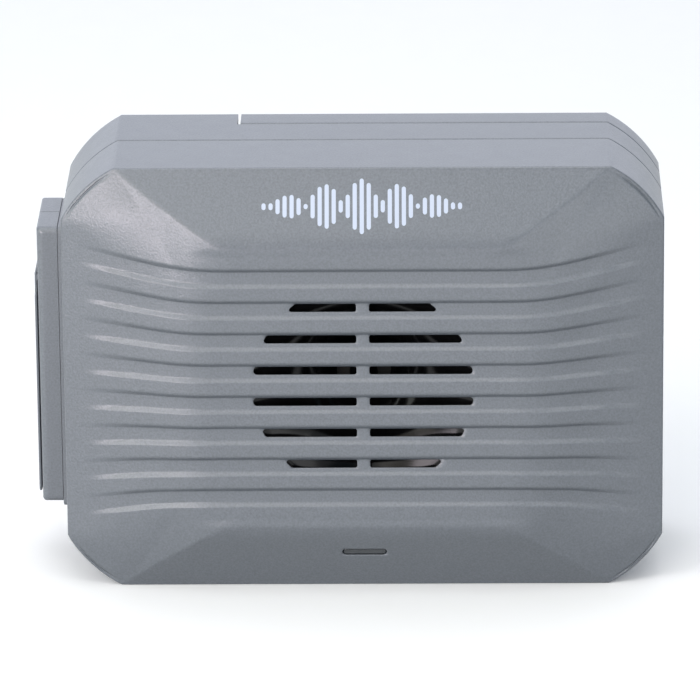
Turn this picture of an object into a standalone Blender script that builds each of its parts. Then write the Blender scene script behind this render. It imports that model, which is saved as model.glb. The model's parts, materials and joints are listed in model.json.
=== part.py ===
"""Ultrasonic pest repeller: a louvred two-shell case with a piezo horn, a circuit board, four AA
cells behind a lift-off rear cover, and a control box with a hinged flap on its left side.

Metres, +Z up, the front faces -Y. The origin is the centre of the bounding box, on the standing plane.
"""

import math

import bmesh
import bpy
from mathutils import Matrix, Vector

# Driving sizes
BODY_X = 0.004  # middle of the case; the control box on the left moves the box's centre off it
HALF_WIDTH = 0.075
HALF_HEIGHT = 0.055
MIDDLE_Z = HALF_HEIGHT
FRONT_EDGE_Y = -0.019  # where the side walls end and the crowned front begins
SEAM_Y = 0.005  # front cover to rear housing
COVER_SEAM_Y = 0.019  # rear housing to battery cover
BACK_Y = 0.0287
WALL = 0.002
GAP = 0.0003
SEAM_GAP = GAP / 2  # taken off each side of a seam
LIP_REACH = 0.002  # how far the rear housing's lip stands into the front cover
LIP_THICKNESS = 0.0013

# Corner: an arc between the straight sides, its ends set in by CORNER_INSET
CORNER_INSET = 0.0133
CORNER_RADIUS = 0.0323
CORNER_STEPS = 6

# Crowned front: height above the front edge plane, as the least of four ramps
CROWN = 0.0097
SIDE_BASE, SIDE_SLOPE = 0.0004, 0.29
TOP_BASE, TOP_SLOPE = 0.0004, 0.52
CORNER_BASE, CORNER_SLOPE = 0.0004, 0.32
CROWN_BLEND = 0.0018

# Louvres: rows of slots clipped to a circle, in pairs either side of a bridge
LOUVRE_PITCH = 0.0082
LOUVRE_RISE = 0.0005
LOUVRE_ROWS = 6
LOUVRE_HEIGHT = 0.0021
LOUVRE_CIRCLE = 0.0277
BRIDGE_HALF = 0.0016

# Status window
WINDOW_Z = 0.0106
WINDOW_LENGTH = 0.0112
WINDOW_HEIGHT = 0.0019

# Posts and screws, each set of four at the same distances from the middle of the case
SCREW_X, SCREW_Z = 0.062, 0.038
BOARD_POST_X, BOARD_POST_Z = 0.050, 0.028
HORN_POST = 0.027
SCREW_SEAT_Y = 0.009  # where the case screws' heads sit, deep in the rear housing
SCREW_TIP_Y = -0.0085
SCREW_HOLE_END_Y = -0.010

# Horn: an exponential flare from its mouth behind the louvres to its throat
HORN_FRONT_Y, HORN_FLANGE_Y, HORN_BACK_Y = -0.0254, -0.0215, -0.012
HORN_MOUTH, HORN_THROAT = 0.0275, 0.0068  # inner radii
HORN_RIM, HORN_BASE = 0.0289, 0.0150  # outer radii
HORN_PLATE_HALF, HORN_PLATE_THICKNESS = 0.0312, 0.0018
HORN_OPENING = 0.0235  # radius of the plate's opening, inside the flare's wall
HORN_STEPS = 5
CAP_RADIUS, CAP_BACK_Y, CAP_WALL = 0.0148, -0.0050, 0.0016

# Board
BOARD_Y = 0.006
BOARD_THICKNESS = 0.0016
BOARD_BACK_Y = BOARD_Y + BOARD_THICKNESS
PARTS_Y = BOARD_BACK_Y + GAP  # where the components on the board's back begin
BOARD_LOW, BOARD_HIGH = (-0.058, 0.0225), (0.062, 0.0875)  # (x, z)
BOARD_TAB_HALF, BOARD_TAB_Z = 0.009, 0.0075  # tab that carries the status LED

# Battery bay
CELL_RADIUS, CELL_LENGTH = 0.00725, 0.0495
CELL_PITCH = 0.0149
CELL_COUNT = 4
CELL_Y = 0.0192
BAY_X = 0.026
BAY_WIDTH, BAY_LENGTH = 0.060, 0.058
BAY_WALL = 0.0015
BAY_FLOOR_Y = 0.0117
BAY_RIM, BAY_RIM_THICKNESS = 0.003, 0.0012  # flange that the tray hangs by
CONTACT_THICKNESS = 0.0004
SPLIT_X = -0.0276  # vertical gap between the rear housing and the battery cover
SPLIT_HALF = 0.0004
COVER_SCREW_Z = 0.043  # above and below the middle
COVER_SCREW_SEAT_Y = 0.0225
KEYHOLE_X, KEYHOLE_Z = 0.062, 0.074
KEYHOLE_DROP = 0.008
KEYHOLE_ENTRY, KEYHOLE_SLOT = 0.004, 0.0021  # radii

# Control box on the left wall
LEFT_X = BODY_X - HALF_WIDTH
PLATE_X = LEFT_X - 0.0015  # outer face of the mounting plate
BOX_X = LEFT_X - 0.0068  # outer face of the box
BOX_FRONT_Y, BOX_BACK_Y = -0.009, 0.018
BOX_LOW_Z, BOX_HIGH_Z = 0.0186, 0.0914
BOX_CORNER = 0.0022
BOX_GAP = 0.0002  # between the case, the plate and the box
RECESS_FRONT_Y, RECESS_BACK_Y = -0.0055, 0.0145
RECESS_LOW_Z, RECESS_HIGH_Z = 0.022, 0.081
CONTROL_Y = 0.0035
KNOB_Z, SLIDER_Z, BUTTON_Z, JACK_Z = 0.062, 0.048, 0.0375, 0.0285
CONTROL_BOARD_X = -0.0637
CONTROL_BACK_X = CONTROL_BOARD_X - GAP  # where the switches and the jack end
HINGE = Vector((-0.0759, CONTROL_Y + 0.001, 0.0774))
HINGE_PIN_RADIUS, BARREL_RADIUS = 0.0007, 0.0015
FLAP_THICKNESS, FLAP_LEAN = 0.0006, 0.0003
FLAP_MARGIN = 0.0012  # how far the flap laps over the recess

PALETTE = {
    "grey_plastic": ((0.275, 0.295, 0.320), 0.55, 0.0),
    "black_plastic": ((0.012, 0.012, 0.014), 0.25, 0.0),
    "dark_rubber": ((0.030, 0.030, 0.032), 0.80, 0.0),
    "smoked_lens": ((0.090, 0.095, 0.100), 0.15, 0.0),
    "board": ((0.015, 0.120, 0.055), 0.45, 0.0),
    "steel": ((0.560, 0.560, 0.570), 0.30, 1.0),
    "brass": ((0.620, 0.480, 0.200), 0.35, 1.0),
    "cell_jacket": ((0.060, 0.075, 0.090), 0.35, 0.2),
    "red_wire": ((0.450, 0.025, 0.020), 0.45, 0.0),
    "black_wire": ((0.015, 0.015, 0.016), 0.45, 0.0),
    "white_plastic": ((0.620, 0.620, 0.600), 0.45, 0.0),
    "paper_cone": ((0.080, 0.075, 0.070), 0.85, 0.0),
}


# ---------------------------------------------------------------- building blocks


def clear_scene():
    for old in list(bpy.data.objects):
        bpy.data.objects.remove(old)


def material(name):
    colour, roughness, metallic = PALETTE[name]
    made = bpy.data.materials.get(name)
    if made is None:
        made = bpy.data.materials.new(name)
        made.use_nodes = True
        shader = made.node_tree.nodes["Principled BSDF"]
        shader.inputs["Base Color"].default_value = (*colour, 1.0)
        shader.inputs["Roughness"].default_value = roughness
        shader.inputs["Metallic"].default_value = metallic
    return made


def add_object(name, mesh_builder, finish="grey_plastic"):
    """A new object from a bmesh, with outward normals and round faces shaded smooth."""
    bmesh.ops.recalc_face_normals(mesh_builder, faces=mesh_builder.faces)
    mesh = bpy.data.meshes.new(name)
    mesh_builder.to_mesh(mesh)
    mesh_builder.free()
    mesh.materials.append(material(finish))
    mesh.shade_smooth()
    mesh.set_sharp_from_angle(angle=math.radians(35))
    obj = bpy.data.objects.new(name, mesh)
    bpy.context.scene.collection.objects.link(obj)
    return obj


def prism(name, outline, low, high, axis="Y", finish="grey_plastic"):
    """A closed prism: an outline pushed along an axis, its points (x, z) along Y or (y, z) along X."""

    def place(point, along):
        return (point[0], along, point[1]) if axis == "Y" else (along, point[0], point[1])

    builder = bmesh.new()
    first = [builder.verts.new(place(p, low)) for p in outline]
    last = [builder.verts.new(place(p, high)) for p in outline]
    builder.faces.new(first)
    builder.faces.new(last)
    for i in range(len(outline)):
        j = (i + 1) % len(outline)
        builder.faces.new((first[i], first[j], last[j], last[i]))
    return add_object(name, builder, finish)


def box(name, low, high, finish="grey_plastic", bevel=0.0):
    """An upright box between two corners, its edges chamfered by bevel."""
    builder = bmesh.new()
    bmesh.ops.create_cube(builder, size=1.0)
    size = [high[i] - low[i] for i in range(3)]
    centre = [(high[i] + low[i]) / 2 for i in range(3)]
    bmesh.ops.scale(builder, vec=size, verts=builder.verts)
    bmesh.ops.translate(builder, vec=centre, verts=builder.verts)
    if bevel:
        bmesh.ops.bevel(builder, geom=builder.edges[:], offset=bevel, segments=1, affect="EDGES")
    return add_object(name, builder, finish)


def turned(name, profile, centre, axis="Y", segments=24, ring=False, finish="grey_plastic"):
    """A turned piece. The profile is (radius, distance along the axis), from end to end, or all round
    the section where ring is set. A radius of 0 is a point on the axis."""
    builder = bmesh.new()
    loops = []
    for radius, along in profile:
        count = segments if radius > 0 else 1
        loop = []
        for i in range(count):
            angle = 2 * math.pi * (i + 0.5) / segments
            across, up = radius * math.cos(angle), radius * math.sin(angle)
            offset = {"X": (along, across, up), "Y": (across, along, up), "Z": (across, up, along)}[axis]
            loop.append(builder.verts.new(Vector(centre) + Vector(offset)))
        loops.append(loop)
    pairs = list(zip(loops, loops[1:]))
    if ring:
        pairs.append((loops[-1], loops[0]))
    for a, b in pairs:
        for i in range(segments):
            j = (i + 1) % segments
            corners = [a[i % len(a)], a[j % len(a)], b[j % len(b)], b[i % len(b)]]
            builder.faces.new(list(dict.fromkeys(corners)))
    if not ring:
        for end in (loops[0], loops[-1]):
            if len(end) > 1:
                builder.faces.new(end)
    return add_object(name, builder, finish)


def rod(name, centre, radius, low, high, axis="Y", segments=16, finish="grey_plastic"):
    """A plain cylinder from low to high along its axis; centre gives the other two places."""
    return turned(name, [(radius, low), (radius, high)], centre, axis, segments, finish=finish)


def evaluated_mesh(obj):
    bpy.context.view_layer.update()
    graph = bpy.context.evaluated_depsgraph_get()
    return bpy.data.meshes.new_from_object(obj.evaluated_get(graph))


def combine(base, tool, operation):
    """Joins tool to base, or cuts it away, and removes tool."""
    modifier = base.modifiers.new(operation, "BOOLEAN")
    modifier.operation = operation
    modifier.solver = "EXACT"
    modifier.object = tool
    mesh = evaluated_mesh(base)
    base.modifiers.clear()
    base.data = mesh
    bpy.data.objects.remove(tool)
    return base


def cut(base, tool):
    return combine(base, tool, "DIFFERENCE")


def join(base, tool):
    return combine(base, tool, "UNION")


def arc(centre, radius, start, end, steps):
    """Points of an arc about a centre, from one angle to another in degrees."""
    points = []
    for i in range(steps + 1):
        angle = math.radians(start + (end - start) * i / steps)
        points.append((centre[0] + radius * math.cos(angle), centre[1] + radius * math.sin(angle)))
    return points


def lead(name, points, radius, finish):
    """A wire along a smooth curve through its points, as a POLY curve with filled caps."""
    route = smooth_route([Vector(p) for p in points])
    curve = bpy.data.curves.new(name, "CURVE")
    curve.dimensions = "3D"
    curve.bevel_depth = radius
    curve.bevel_resolution = 1
    curve.use_fill_caps = True
    spline = curve.splines.new("POLY")
    spline.points.add(len(route) - 1)
    for point, place in zip(spline.points, route):
        point.co = (*place, 1.0)
    curve.materials.append(material(finish))
    obj = bpy.data.objects.new(name, curve)
    bpy.context.scene.collection.objects.link(obj)
    return obj


def smooth_route(points, steps=4):
    """Catmull-Rom points through the given ones."""
    ends = [2 * points[0] - points[1], *points, 2 * points[-1] - points[-2]]
    route = []
    for a, b, c, d in zip(ends, ends[1:], ends[2:], ends[3:]):
        square, cube = 2 * a - 5 * b + 4 * c - d, 3 * b - a - 3 * c + d
        for i in range(steps):
            t = i / steps
            route.append(b + ((c - a) * t + square * t**2 + cube * t**3) / 2)
    return [*route, points[-1]]


# ---------------------------------------------------------------- the case's outline and crown


def case_outline(inset=0.0, low_x=None, high_x=None):
    """The case's outline seen from the front, (x, z) counter-clockwise, set in by inset and cut off
    at low_x or high_x where the piece covers only one side of the case."""
    half_w, half_h = HALF_WIDTH - inset, HALF_HEIGHT - inset
    radius = CORNER_RADIUS - inset
    centre = corner_centre()
    start = math.degrees(math.asin((half_h - centre[1]) / radius))  # where the arc meets the top edge
    end = math.degrees(math.acos((half_w - centre[0]) / radius))  # where it meets the side
    top_right = arc(centre, radius, start, end, CORNER_STEPS)
    bottom_right = [(x, -z) for x, z in reversed(top_right)]
    bottom_left = [(-x, -z) for x, z in top_right]
    top_left = [(-x, z) for x, z in reversed(top_right)]
    around = top_right + bottom_right + bottom_left + top_left
    points = [(BODY_X + x, MIDDLE_Z + z) for x, z in around][::-1]
    if low_x is not None:
        points = [p for p in points if p[0] > low_x]
        cut_x = low_x
    elif high_x is not None:
        points = [p for p in points if p[0] < high_x]
        cut_x = high_x
    else:
        return points
    upper, lower = MIDDLE_Z + half_h, MIDDLE_Z - half_h
    points = sorted_around(points + [(cut_x, upper), (cut_x, lower)])
    return points


def sorted_around(points):
    """Points of a convex outline in order round their middle."""
    middle = (sum(x for x, _ in points) / len(points), sum(z for _, z in points) / len(points))
    return sorted(points, key=lambda p: math.atan2(p[1] - middle[1], p[0] - middle[0]))


def corner_centre():
    """Centre of the top right corner's arc, from the middle of the case."""
    sagitta = CORNER_RADIUS - math.sqrt(CORNER_RADIUS**2 - CORNER_INSET**2 / 2)
    back = CORNER_INSET / 2 + (CORNER_RADIUS - sagitta) / math.sqrt(2)
    return HALF_WIDTH - back, HALF_HEIGHT - back


def smooth_least(a, b, blend):
    """The lesser of a and b, rounded where they are within blend of each other."""
    share = max(blend - abs(a - b), 0.0) / blend
    return min(a, b) - share * share * blend / 4


def crown_height(x, z):
    """How far the front stands proud of the front edge plane."""
    across, up = abs(x - BODY_X), abs(z - MIDDLE_Z)
    centre = corner_centre()
    from_side = HALF_WIDTH - across
    from_top = HALF_HEIGHT - up
    from_arc = CORNER_RADIUS - math.hypot(max(across - centre[0], 0.0), max(up - centre[1], 0.0))
    from_chord = (from_side + from_top - CORNER_INSET) / math.sqrt(2)
    from_corner = max(from_arc, from_chord)
    side = SIDE_BASE + SIDE_SLOPE * from_side
    corner = CORNER_BASE + CORNER_SLOPE * from_corner
    top = TOP_BASE + TOP_SLOPE * from_top
    height = smooth_least(side, corner, 2 * CROWN_BLEND)
    height = smooth_least(height, CROWN, CROWN_BLEND)
    return smooth_least(height, top, CROWN_BLEND)


def crowned_block(name, back_y, depth):
    """A block whose front is the crowned surface, moved back by depth, and whose back is flat."""
    half_w, half_h = HALF_WIDTH + 0.002, HALF_HEIGHT + 0.002
    columns = [-1, -0.93, -0.84, -0.72, -0.6, -0.5, -0.43, -0.2, 0.2, 0.43, 0.5, 0.6, 0.72, 0.84, 0.93, 1]
    rows = [-1, -0.92, -0.82, -0.7, -0.64, -0.55, -0.3, 0.3, 0.55, 0.64, 0.7, 0.82, 0.92, 1]
    builder = bmesh.new()
    front, back = [], []
    for row in rows:
        line, flat = [], []
        for column in columns:
            x, z = BODY_X + column * half_w, MIDDLE_Z + row * half_h
            line.append(builder.verts.new((x, FRONT_EDGE_Y - crown_height(x, z) + depth, z)))
            flat.append(builder.verts.new((x, back_y, z)))
        front.append(line)
        back.append(flat)
    for grid in (front, back):
        for r in range(len(rows) - 1):
            for c in range(len(columns) - 1):
                builder.faces.new((grid[r][c], grid[r][c + 1], grid[r + 1][c + 1], grid[r + 1][c]))
    edge = [(0, c) for c in range(len(columns))]
    edge += [(r, len(columns) - 1) for r in range(1, len(rows))]
    edge += [(len(rows) - 1, c) for c in range(len(columns) - 2, -1, -1)]
    edge += [(r, 0) for r in range(len(rows) - 2, 0, -1)]
    for (r0, c0), (r1, c1) in zip(edge, edge[1:] + edge[:1]):
        builder.faces.new((front[r0][c0], front[r1][c1], back[r1][c1], back[r0][c0]))
    return add_object(name, builder)


# ---------------------------------------------------------------- the case


def louvre_outlines():
    """Each slot's outline (x, z): a bar whose outer end follows the louvre circle."""
    outlines = []
    for row in range(LOUVRE_ROWS):
        z = (row - (LOUVRE_ROWS - 1) / 2) * LOUVRE_PITCH + LOUVRE_RISE
        low, high = z - LOUVRE_HEIGHT / 2, z + LOUVRE_HEIGHT / 2
        reach = [math.sqrt(LOUVRE_CIRCLE**2 - edge**2) for edge in (low, high)]
        for side in (-1, 1):
            corners = [(BRIDGE_HALF, low), (reach[0], low), (reach[1], high), (BRIDGE_HALF, high)]
            outlines.append([(BODY_X + side * x, MIDDLE_Z + z) for x, z in corners])
    return outlines


def corner_places(half_x, half_z):
    """Four places (x, z), the same distances from the middle of the case."""
    return [(BODY_X + sx * half_x, MIDDLE_Z + sz * half_z) for sx in (-1, 1) for sz in (-1, 1)]


def add_post(shell, place, radius, hole, high_y, bottom_y):
    """A round post behind the shell's sloping front, with a blind screw hole from its rear end to bottom_y."""
    front_y = FRONT_EDGE_Y - CROWN
    post = rod("post", (place[0], 0, place[1]), radius, front_y, high_y)
    for vertex in post.data.vertices:
        if vertex.co.y < front_y + WALL:
            vertex.co.y = FRONT_EDGE_Y - crown_height(vertex.co.x, vertex.co.z) + WALL / 2
    join(shell, post)
    cut(shell, rod("hole", (place[0], 0, place[1]), hole, bottom_y, high_y + 0.001))


def control_window():
    """Cutter for the opening in the left wall that the control bodies pass through."""
    return box("window", (LEFT_X - 0.003, -0.0045, 0.024), (LEFT_X + 0.006, 0.0118, 0.072))


def front_cover():
    cover = crowned_block("front_cover", SEAM_Y - SEAM_GAP, 0.0)
    combine(cover, prism("outline", case_outline(), -0.05, 0.05), "INTERSECT")
    hollow = crowned_block("hollow", 0.02, WALL)
    combine(hollow, prism("inside", case_outline(WALL), -0.05, 0.05), "INTERSECT")
    cut(cover, hollow)
    for outline in louvre_outlines():
        cut(cover, prism("slot", outline, -0.05, -0.02))
    cut(cover, box("window", *status_window(0.0, -0.05, -0.01)))
    for x, z in corner_places(SCREW_X, SCREW_Z):
        add_post(cover, (x, z), 0.004, 0.00145, SEAM_Y - SEAM_GAP, SCREW_HOLE_END_Y)
    for x, z in corner_places(BOARD_POST_X, BOARD_POST_Z):
        add_post(cover, (x, z), 0.003, 0.0013, BOARD_Y - GAP, -0.004)
    for x, z in corner_places(HORN_POST, HORN_POST):
        add_post(cover, (x, z), 0.003, 0.0012, HORN_FLANGE_Y - GAP, -0.0262)
    cut(cover, control_window())
    return cover


def status_window(clearance, low_y, high_y):
    """Corners of the bar-shaped window in the front, made smaller by clearance all round."""
    half_x, half_z = WINDOW_LENGTH / 2 - clearance, WINDOW_HEIGHT / 2 - clearance
    return (BODY_X - half_x, low_y, WINDOW_Z - half_z), (BODY_X + half_x, high_y, WINDOW_Z + half_z)


def rear_housing():
    """The ring behind the seam, full depth in its left block, with a wall under the battery cover."""
    block_edge = SPLIT_X - SPLIT_HALF
    housing = prism("rear_housing", case_outline(), SEAM_Y + SEAM_GAP, BACK_Y)
    join(housing, prism("lip", case_outline(WALL + GAP), SEAM_Y - LIP_REACH, SEAM_Y + LIP_REACH))
    cut(housing, box("cover_room", (block_edge, COVER_SEAM_Y, -0.01), (0.09, 0.04, 0.12)))
    hollow = prism("hollow", case_outline(WALL), SEAM_Y + 2 * LIP_REACH, BACK_Y - WALL)
    cut(hollow, box("inner_wall", (block_edge - WALL, COVER_SEAM_Y - WALL, -0.01), (0.09, 0.04, 0.12)))
    join(hollow, prism("front_hollow", case_outline(WALL + LIP_THICKNESS), -0.01, SEAM_Y + 3 * LIP_REACH))
    cut(housing, hollow)
    for x, z in corner_places(SCREW_X, SCREW_Z):
        back_y = BACK_Y if x < block_edge else COVER_SEAM_Y
        join(housing, rod("column", (x, 0, z), 0.0045, SEAM_Y + SEAM_GAP, back_y - 0.0001))
        cut(housing, rod("counterbore", (x, 0, z), 0.0032, SCREW_SEAT_Y, back_y + 0.002))
        cut(housing, rod("hole", (x, 0, z), 0.0017, 0.0, 0.012))
    for side in (-1, 1):
        place = (BAY_X, 0, MIDDLE_Z + side * COVER_SCREW_Z)
        join(housing, rod("boss", place, 0.0035, 0.012, COVER_SEAM_Y - 0.0005))
        cut(housing, rod("hole", place, 0.0016, 0.0132, 0.03))
    half_x, half_z = BAY_WIDTH / 2 + BAY_WALL + GAP, BAY_LENGTH / 2 + BAY_WALL + GAP
    bay_low = (BAY_X - half_x, 0.014, MIDDLE_Z - half_z)
    cut(housing, box("bay", bay_low, (BAY_X + half_x, 0.025, MIDDLE_Z + half_z)))
    cut(housing, keyhole(BODY_X - KEYHOLE_X))
    cut(housing, control_window())
    return housing


def keyhole(x):
    """Cutter for a keyhole in the back wall: a round entry with a narrow slot above it."""
    outline = arc((x, KEYHOLE_Z), KEYHOLE_ENTRY, -240, 60, 12)
    outline += arc((x, KEYHOLE_Z + KEYHOLE_DROP), KEYHOLE_SLOT, 0, 180, 6)
    return prism("keyhole", outline, BACK_Y - WALL - 0.001, BACK_Y + 0.002)


def battery_cover():
    edge = SPLIT_X + SPLIT_HALF
    cover = prism("battery_cover", case_outline(low_x=edge), COVER_SEAM_Y + GAP, BACK_Y)
    cut(cover, prism("inside", case_outline(WALL, low_x=edge + WALL), 0.0, BACK_Y - WALL))
    for side in (-1, 1):
        place = (BAY_X, 0, MIDDLE_Z + side * COVER_SCREW_Z)
        join(cover, rod("column", place, 0.0045, COVER_SEAM_Y + GAP, BACK_Y - 0.0001))
        cut(cover, rod("counterbore", place, 0.0033, COVER_SCREW_SEAT_Y, BACK_Y + 0.002))
        cut(cover, rod("hole", place, 0.0018, 0.0, 0.025))
    cut(cover, keyhole(BODY_X + KEYHOLE_X))
    return cover


def screw(name, place, head_y, head_radius, head_height, shank_radius, tip_y):
    """A pan-head screw driven towards -Y, with a cross recess in its head."""
    profile = [
        (0.0, tip_y),
        (shank_radius * 0.8, tip_y + 0.0008),
        (shank_radius, tip_y + 0.0016),
        (shank_radius, head_y),
        (head_radius, head_y),
        (head_radius, head_y + head_height * 0.55),
        (head_radius * 0.7, head_y + head_height),
    ]
    made = turned(name, profile, (place[0], 0, place[1]), segments=12, finish="steel")
    arm, half = head_radius * 0.62, head_radius * 0.14
    top = head_y + head_height
    for wide, tall in ((arm, half), (half, arm)):
        low = (place[0] - wide, top - 0.0008, place[1] - tall)
        high = (place[0] + wide, top + 0.001, place[1] + tall)
        cut(made, box("recess", low, high))
    return made


# ---------------------------------------------------------------- the horn


def speaker():
    """The horn and what it holds: plug, seal, diaphragm, piezo disc and back cap."""
    centre = (BODY_X, 0, MIDDLE_Z)
    horn()
    plug = [(0.0, -0.0215), (0.0016, -0.0205), (0.0030, -0.0180), (0.0036, -0.0150), (0.0030, -0.0128)]
    turned("phase_plug", plug, centre, segments=20, finish="black_plastic")
    seal = ring_section(HORN_RIM - 0.0012, HORN_RIM - 0.0001, HORN_FRONT_Y - 0.0010, HORN_FRONT_Y - GAP)
    turned("horn_gasket", seal, centre, segments=32, ring=True, finish="dark_rubber")
    front = [(0.0, -0.0106), (0.0045, -0.0109), (0.0125, -0.0116)]
    back = [(0.0125, -0.0112), (0.0045, -0.0104), (0.0, -0.0101)]
    turned("diaphragm", front + back, centre, segments=20, finish="paper_cone")
    turned("piezo_disc", [(0.0110, -0.0098), (0.0110, -0.0093)], centre, segments=20, finish="brass")
    front_y = HORN_BACK_Y + GAP
    inside_y = CAP_BACK_Y - CAP_WALL
    cap = [(0.0, inside_y), (CAP_RADIUS - CAP_WALL, inside_y), (CAP_RADIUS - CAP_WALL, front_y)]
    cap += [(CAP_RADIUS, front_y), (CAP_RADIUS, CAP_BACK_Y), (0.0, CAP_BACK_Y)]
    turned("horn_back_cap", cap, centre, segments=24, finish="black_plastic")


def horn():
    """An exponential flare on a square plate, screwed to posts on the front cover."""
    centre = (BODY_X, 0, MIDDLE_Z)
    profile = []
    for i in range(HORN_STEPS + 1):
        share = i / HORN_STEPS
        radius = HORN_MOUTH * (HORN_THROAT / HORN_MOUTH) ** share
        profile.append((radius, HORN_FRONT_Y + (HORN_BACK_Y - HORN_FRONT_Y) * share))
    profile += [(HORN_BASE, HORN_BACK_Y), (0.0170, -0.0160), (0.0240, -0.0196)]
    profile += [(HORN_RIM, -0.0206), (HORN_RIM, HORN_FRONT_Y)]
    made = turned("speaker_horn", profile, centre, segments=32, ring=True, finish="black_plastic")
    plate_back_y = HORN_FLANGE_Y + HORN_PLATE_THICKNESS
    plate = prism("plate", rounded_square(HORN_PLATE_HALF, 0.006), HORN_FLANGE_Y, plate_back_y)
    cut(plate, rod("opening", centre, HORN_OPENING, -0.05, 0.05, segments=32))
    join(made, plate)
    for x, z in corner_places(HORN_POST, HORN_POST):
        cut(made, rod("hole", (x, 0, z), 0.0015, -0.03, -0.01, segments=12))
    for number, place in enumerate(corner_places(HORN_POST, HORN_POST)[::3], 1):
        screw(f"horn_screw_{number}", place, plate_back_y + GAP, 0.0024, 0.0014, 0.0009, -0.0258)


def ring_section(inner, outer, low_y, high_y):
    return [(inner, low_y), (outer, low_y), (outer, high_y), (inner, high_y)]


def screw_number(x, z):
    """1 to 4: lower left, upper left, lower right, upper right."""
    return 1 + 2 * (x > BODY_X) + (z > MIDDLE_Z)


def rounded_square(half, radius):
    """Square outline about the middle of the case, its corners rounded."""
    points = []
    for quarter, (sx, sz) in enumerate(((1, 1), (-1, 1), (-1, -1), (1, -1))):
        centre = (BODY_X + sx * (half - radius), MIDDLE_Z + sz * (half - radius))
        points += arc(centre, radius, 90 * quarter, 90 * quarter + 90, 3)
    return points


# ---------------------------------------------------------------- electronics


def electronics():
    main_board()
    led_half = 0.0016
    led_low = (BODY_X - led_half, 0.0047, WINDOW_Z - led_half / 2)
    box("status_led", led_low, (BODY_X + led_half, BOARD_Y - GAP, WINDOW_Z + led_half / 2), "white_plastic")
    guide = box("light_guide", *status_window(0.0002, -0.0242, -0.0205), finish="smoked_lens")
    bar_low = (BODY_X - 0.0066, -0.0206, WINDOW_Z - 0.0018)
    join(guide, box("bar", bar_low, (BODY_X + 0.0066, 0.0043, WINDOW_Z + 0.0018)))
    component("transformer", (-0.045, 0.038), (0.016, 0.016), 0.0135, 0.0008)
    component("controller_chip", (-0.016, 0.050), (0.008, 0.008), 0.0016, 0.0002)
    component("driver_transistor", (-0.047, 0.064), (0.010, 0.010), 0.0045, 0.0003)
    for number, z in enumerate((0.056, 0.070), 1):
        can = [(0.0040, PARTS_Y), (0.0040, PARTS_Y + 0.0105), (0.0034, PARTS_Y + 0.0115)]
        turned(f"capacitor_{number}", can, (-0.0345, 0, z), segments=16, finish="cell_jacket")
    leads()


def main_board():
    low, high = (BOARD_LOW[0], BOARD_Y, BOARD_LOW[1]), (BOARD_HIGH[0], BOARD_BACK_Y, BOARD_HIGH[1])
    board = box("main_board", low, high, finish="board")
    tab_low = (BODY_X - BOARD_TAB_HALF, BOARD_Y, BOARD_TAB_Z)
    join(board, box("tab", tab_low, (BODY_X + BOARD_TAB_HALF, BOARD_BACK_Y, BOARD_LOW[1] + 0.0075)))
    places = corner_places(BOARD_POST_X, BOARD_POST_Z)
    for x, z in places:
        cut(board, rod("hole", (x, 0, z), 0.0016, 0.0, 0.02, segments=12))
    for number, place in enumerate(places[::3], 1):
        screw(f"board_screw_{number}", place, PARTS_Y, 0.0025, 0.0016, 0.0010, -0.0030)


def component(name, centre, size, depth, bevel):
    """A moulded component on the board's back; its centre and size are (x, z)."""
    low = (centre[0] - size[0] / 2, PARTS_Y, centre[1] - size[1] / 2)
    high = (centre[0] + size[0] / 2, PARTS_Y + depth, centre[1] + size[1] / 2)
    return box(name, low, high, "black_plastic", bevel)


def leads():
    """Leads from the board to the horn, the battery tray and the control board."""
    for colour, side in (("red", -1), ("black", 1)):
        x = BODY_X + side * 0.004
        bend = [(x, 0.0056, 0.050), (x, 0.0020, 0.050)]
        bend += [(x - 0.001, -0.0020, 0.052), (x - 0.001, -0.0044, 0.053)]
        lead(f"speaker_lead_{colour}", bend, 0.0006, f"{colour}_wire")
    for colour, x, end_x in (("red", 0.002, 0.003), ("black", 0.050, 0.049)):
        bend = [(x, PARTS_Y, 0.0240), (x, 0.0090, 0.0238), (end_x, 0.0120, 0.0230), (end_x, 0.0135, 0.0230)]
        lead(f"battery_lead_{colour}", bend, 0.0006, f"{colour}_wire")
    bend = [(-0.0618, 0.0030), (-0.0603, 0.0026), (-0.0580, 0.0012), (-0.0556, 0.0024), (-0.0550, 0.0056)]
    lead("control_lead", [(x, y, 0.038) for x, y in bend], 0.0009, "black_wire")


def battery_bay():
    """The tray that hangs in the rear housing's wall, with its cells and contacts."""
    half_x, half_z = BAY_WIDTH / 2, BAY_LENGTH / 2
    low = (BAY_X - half_x - BAY_WALL, BAY_FLOOR_Y - BAY_WALL, MIDDLE_Z - half_z - BAY_WALL)
    high = (BAY_X + half_x + BAY_WALL, COVER_SEAM_Y + GAP + BAY_RIM_THICKNESS, MIDDLE_Z + half_z + BAY_WALL)
    tray = box("battery_tray", low, high, "black_plastic")
    flange_low = (low[0] - BAY_RIM, COVER_SEAM_Y + GAP, low[2] - BAY_RIM)
    join(tray, box("flange", flange_low, (high[0] + BAY_RIM, high[1], high[2] + BAY_RIM)))
    inside_low = (BAY_X - half_x, BAY_FLOOR_Y, MIDDLE_Z - half_z)
    cut(tray, box("inside", inside_low, (BAY_X + half_x, 0.04, MIDDLE_Z + half_z)))
    for number in range(CELL_COUNT):
        x = BAY_X + (number - (CELL_COUNT - 1) / 2) * CELL_PITCH
        cell_with_contacts(number + 1, x, 1 if number % 2 == 0 else -1)


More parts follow.
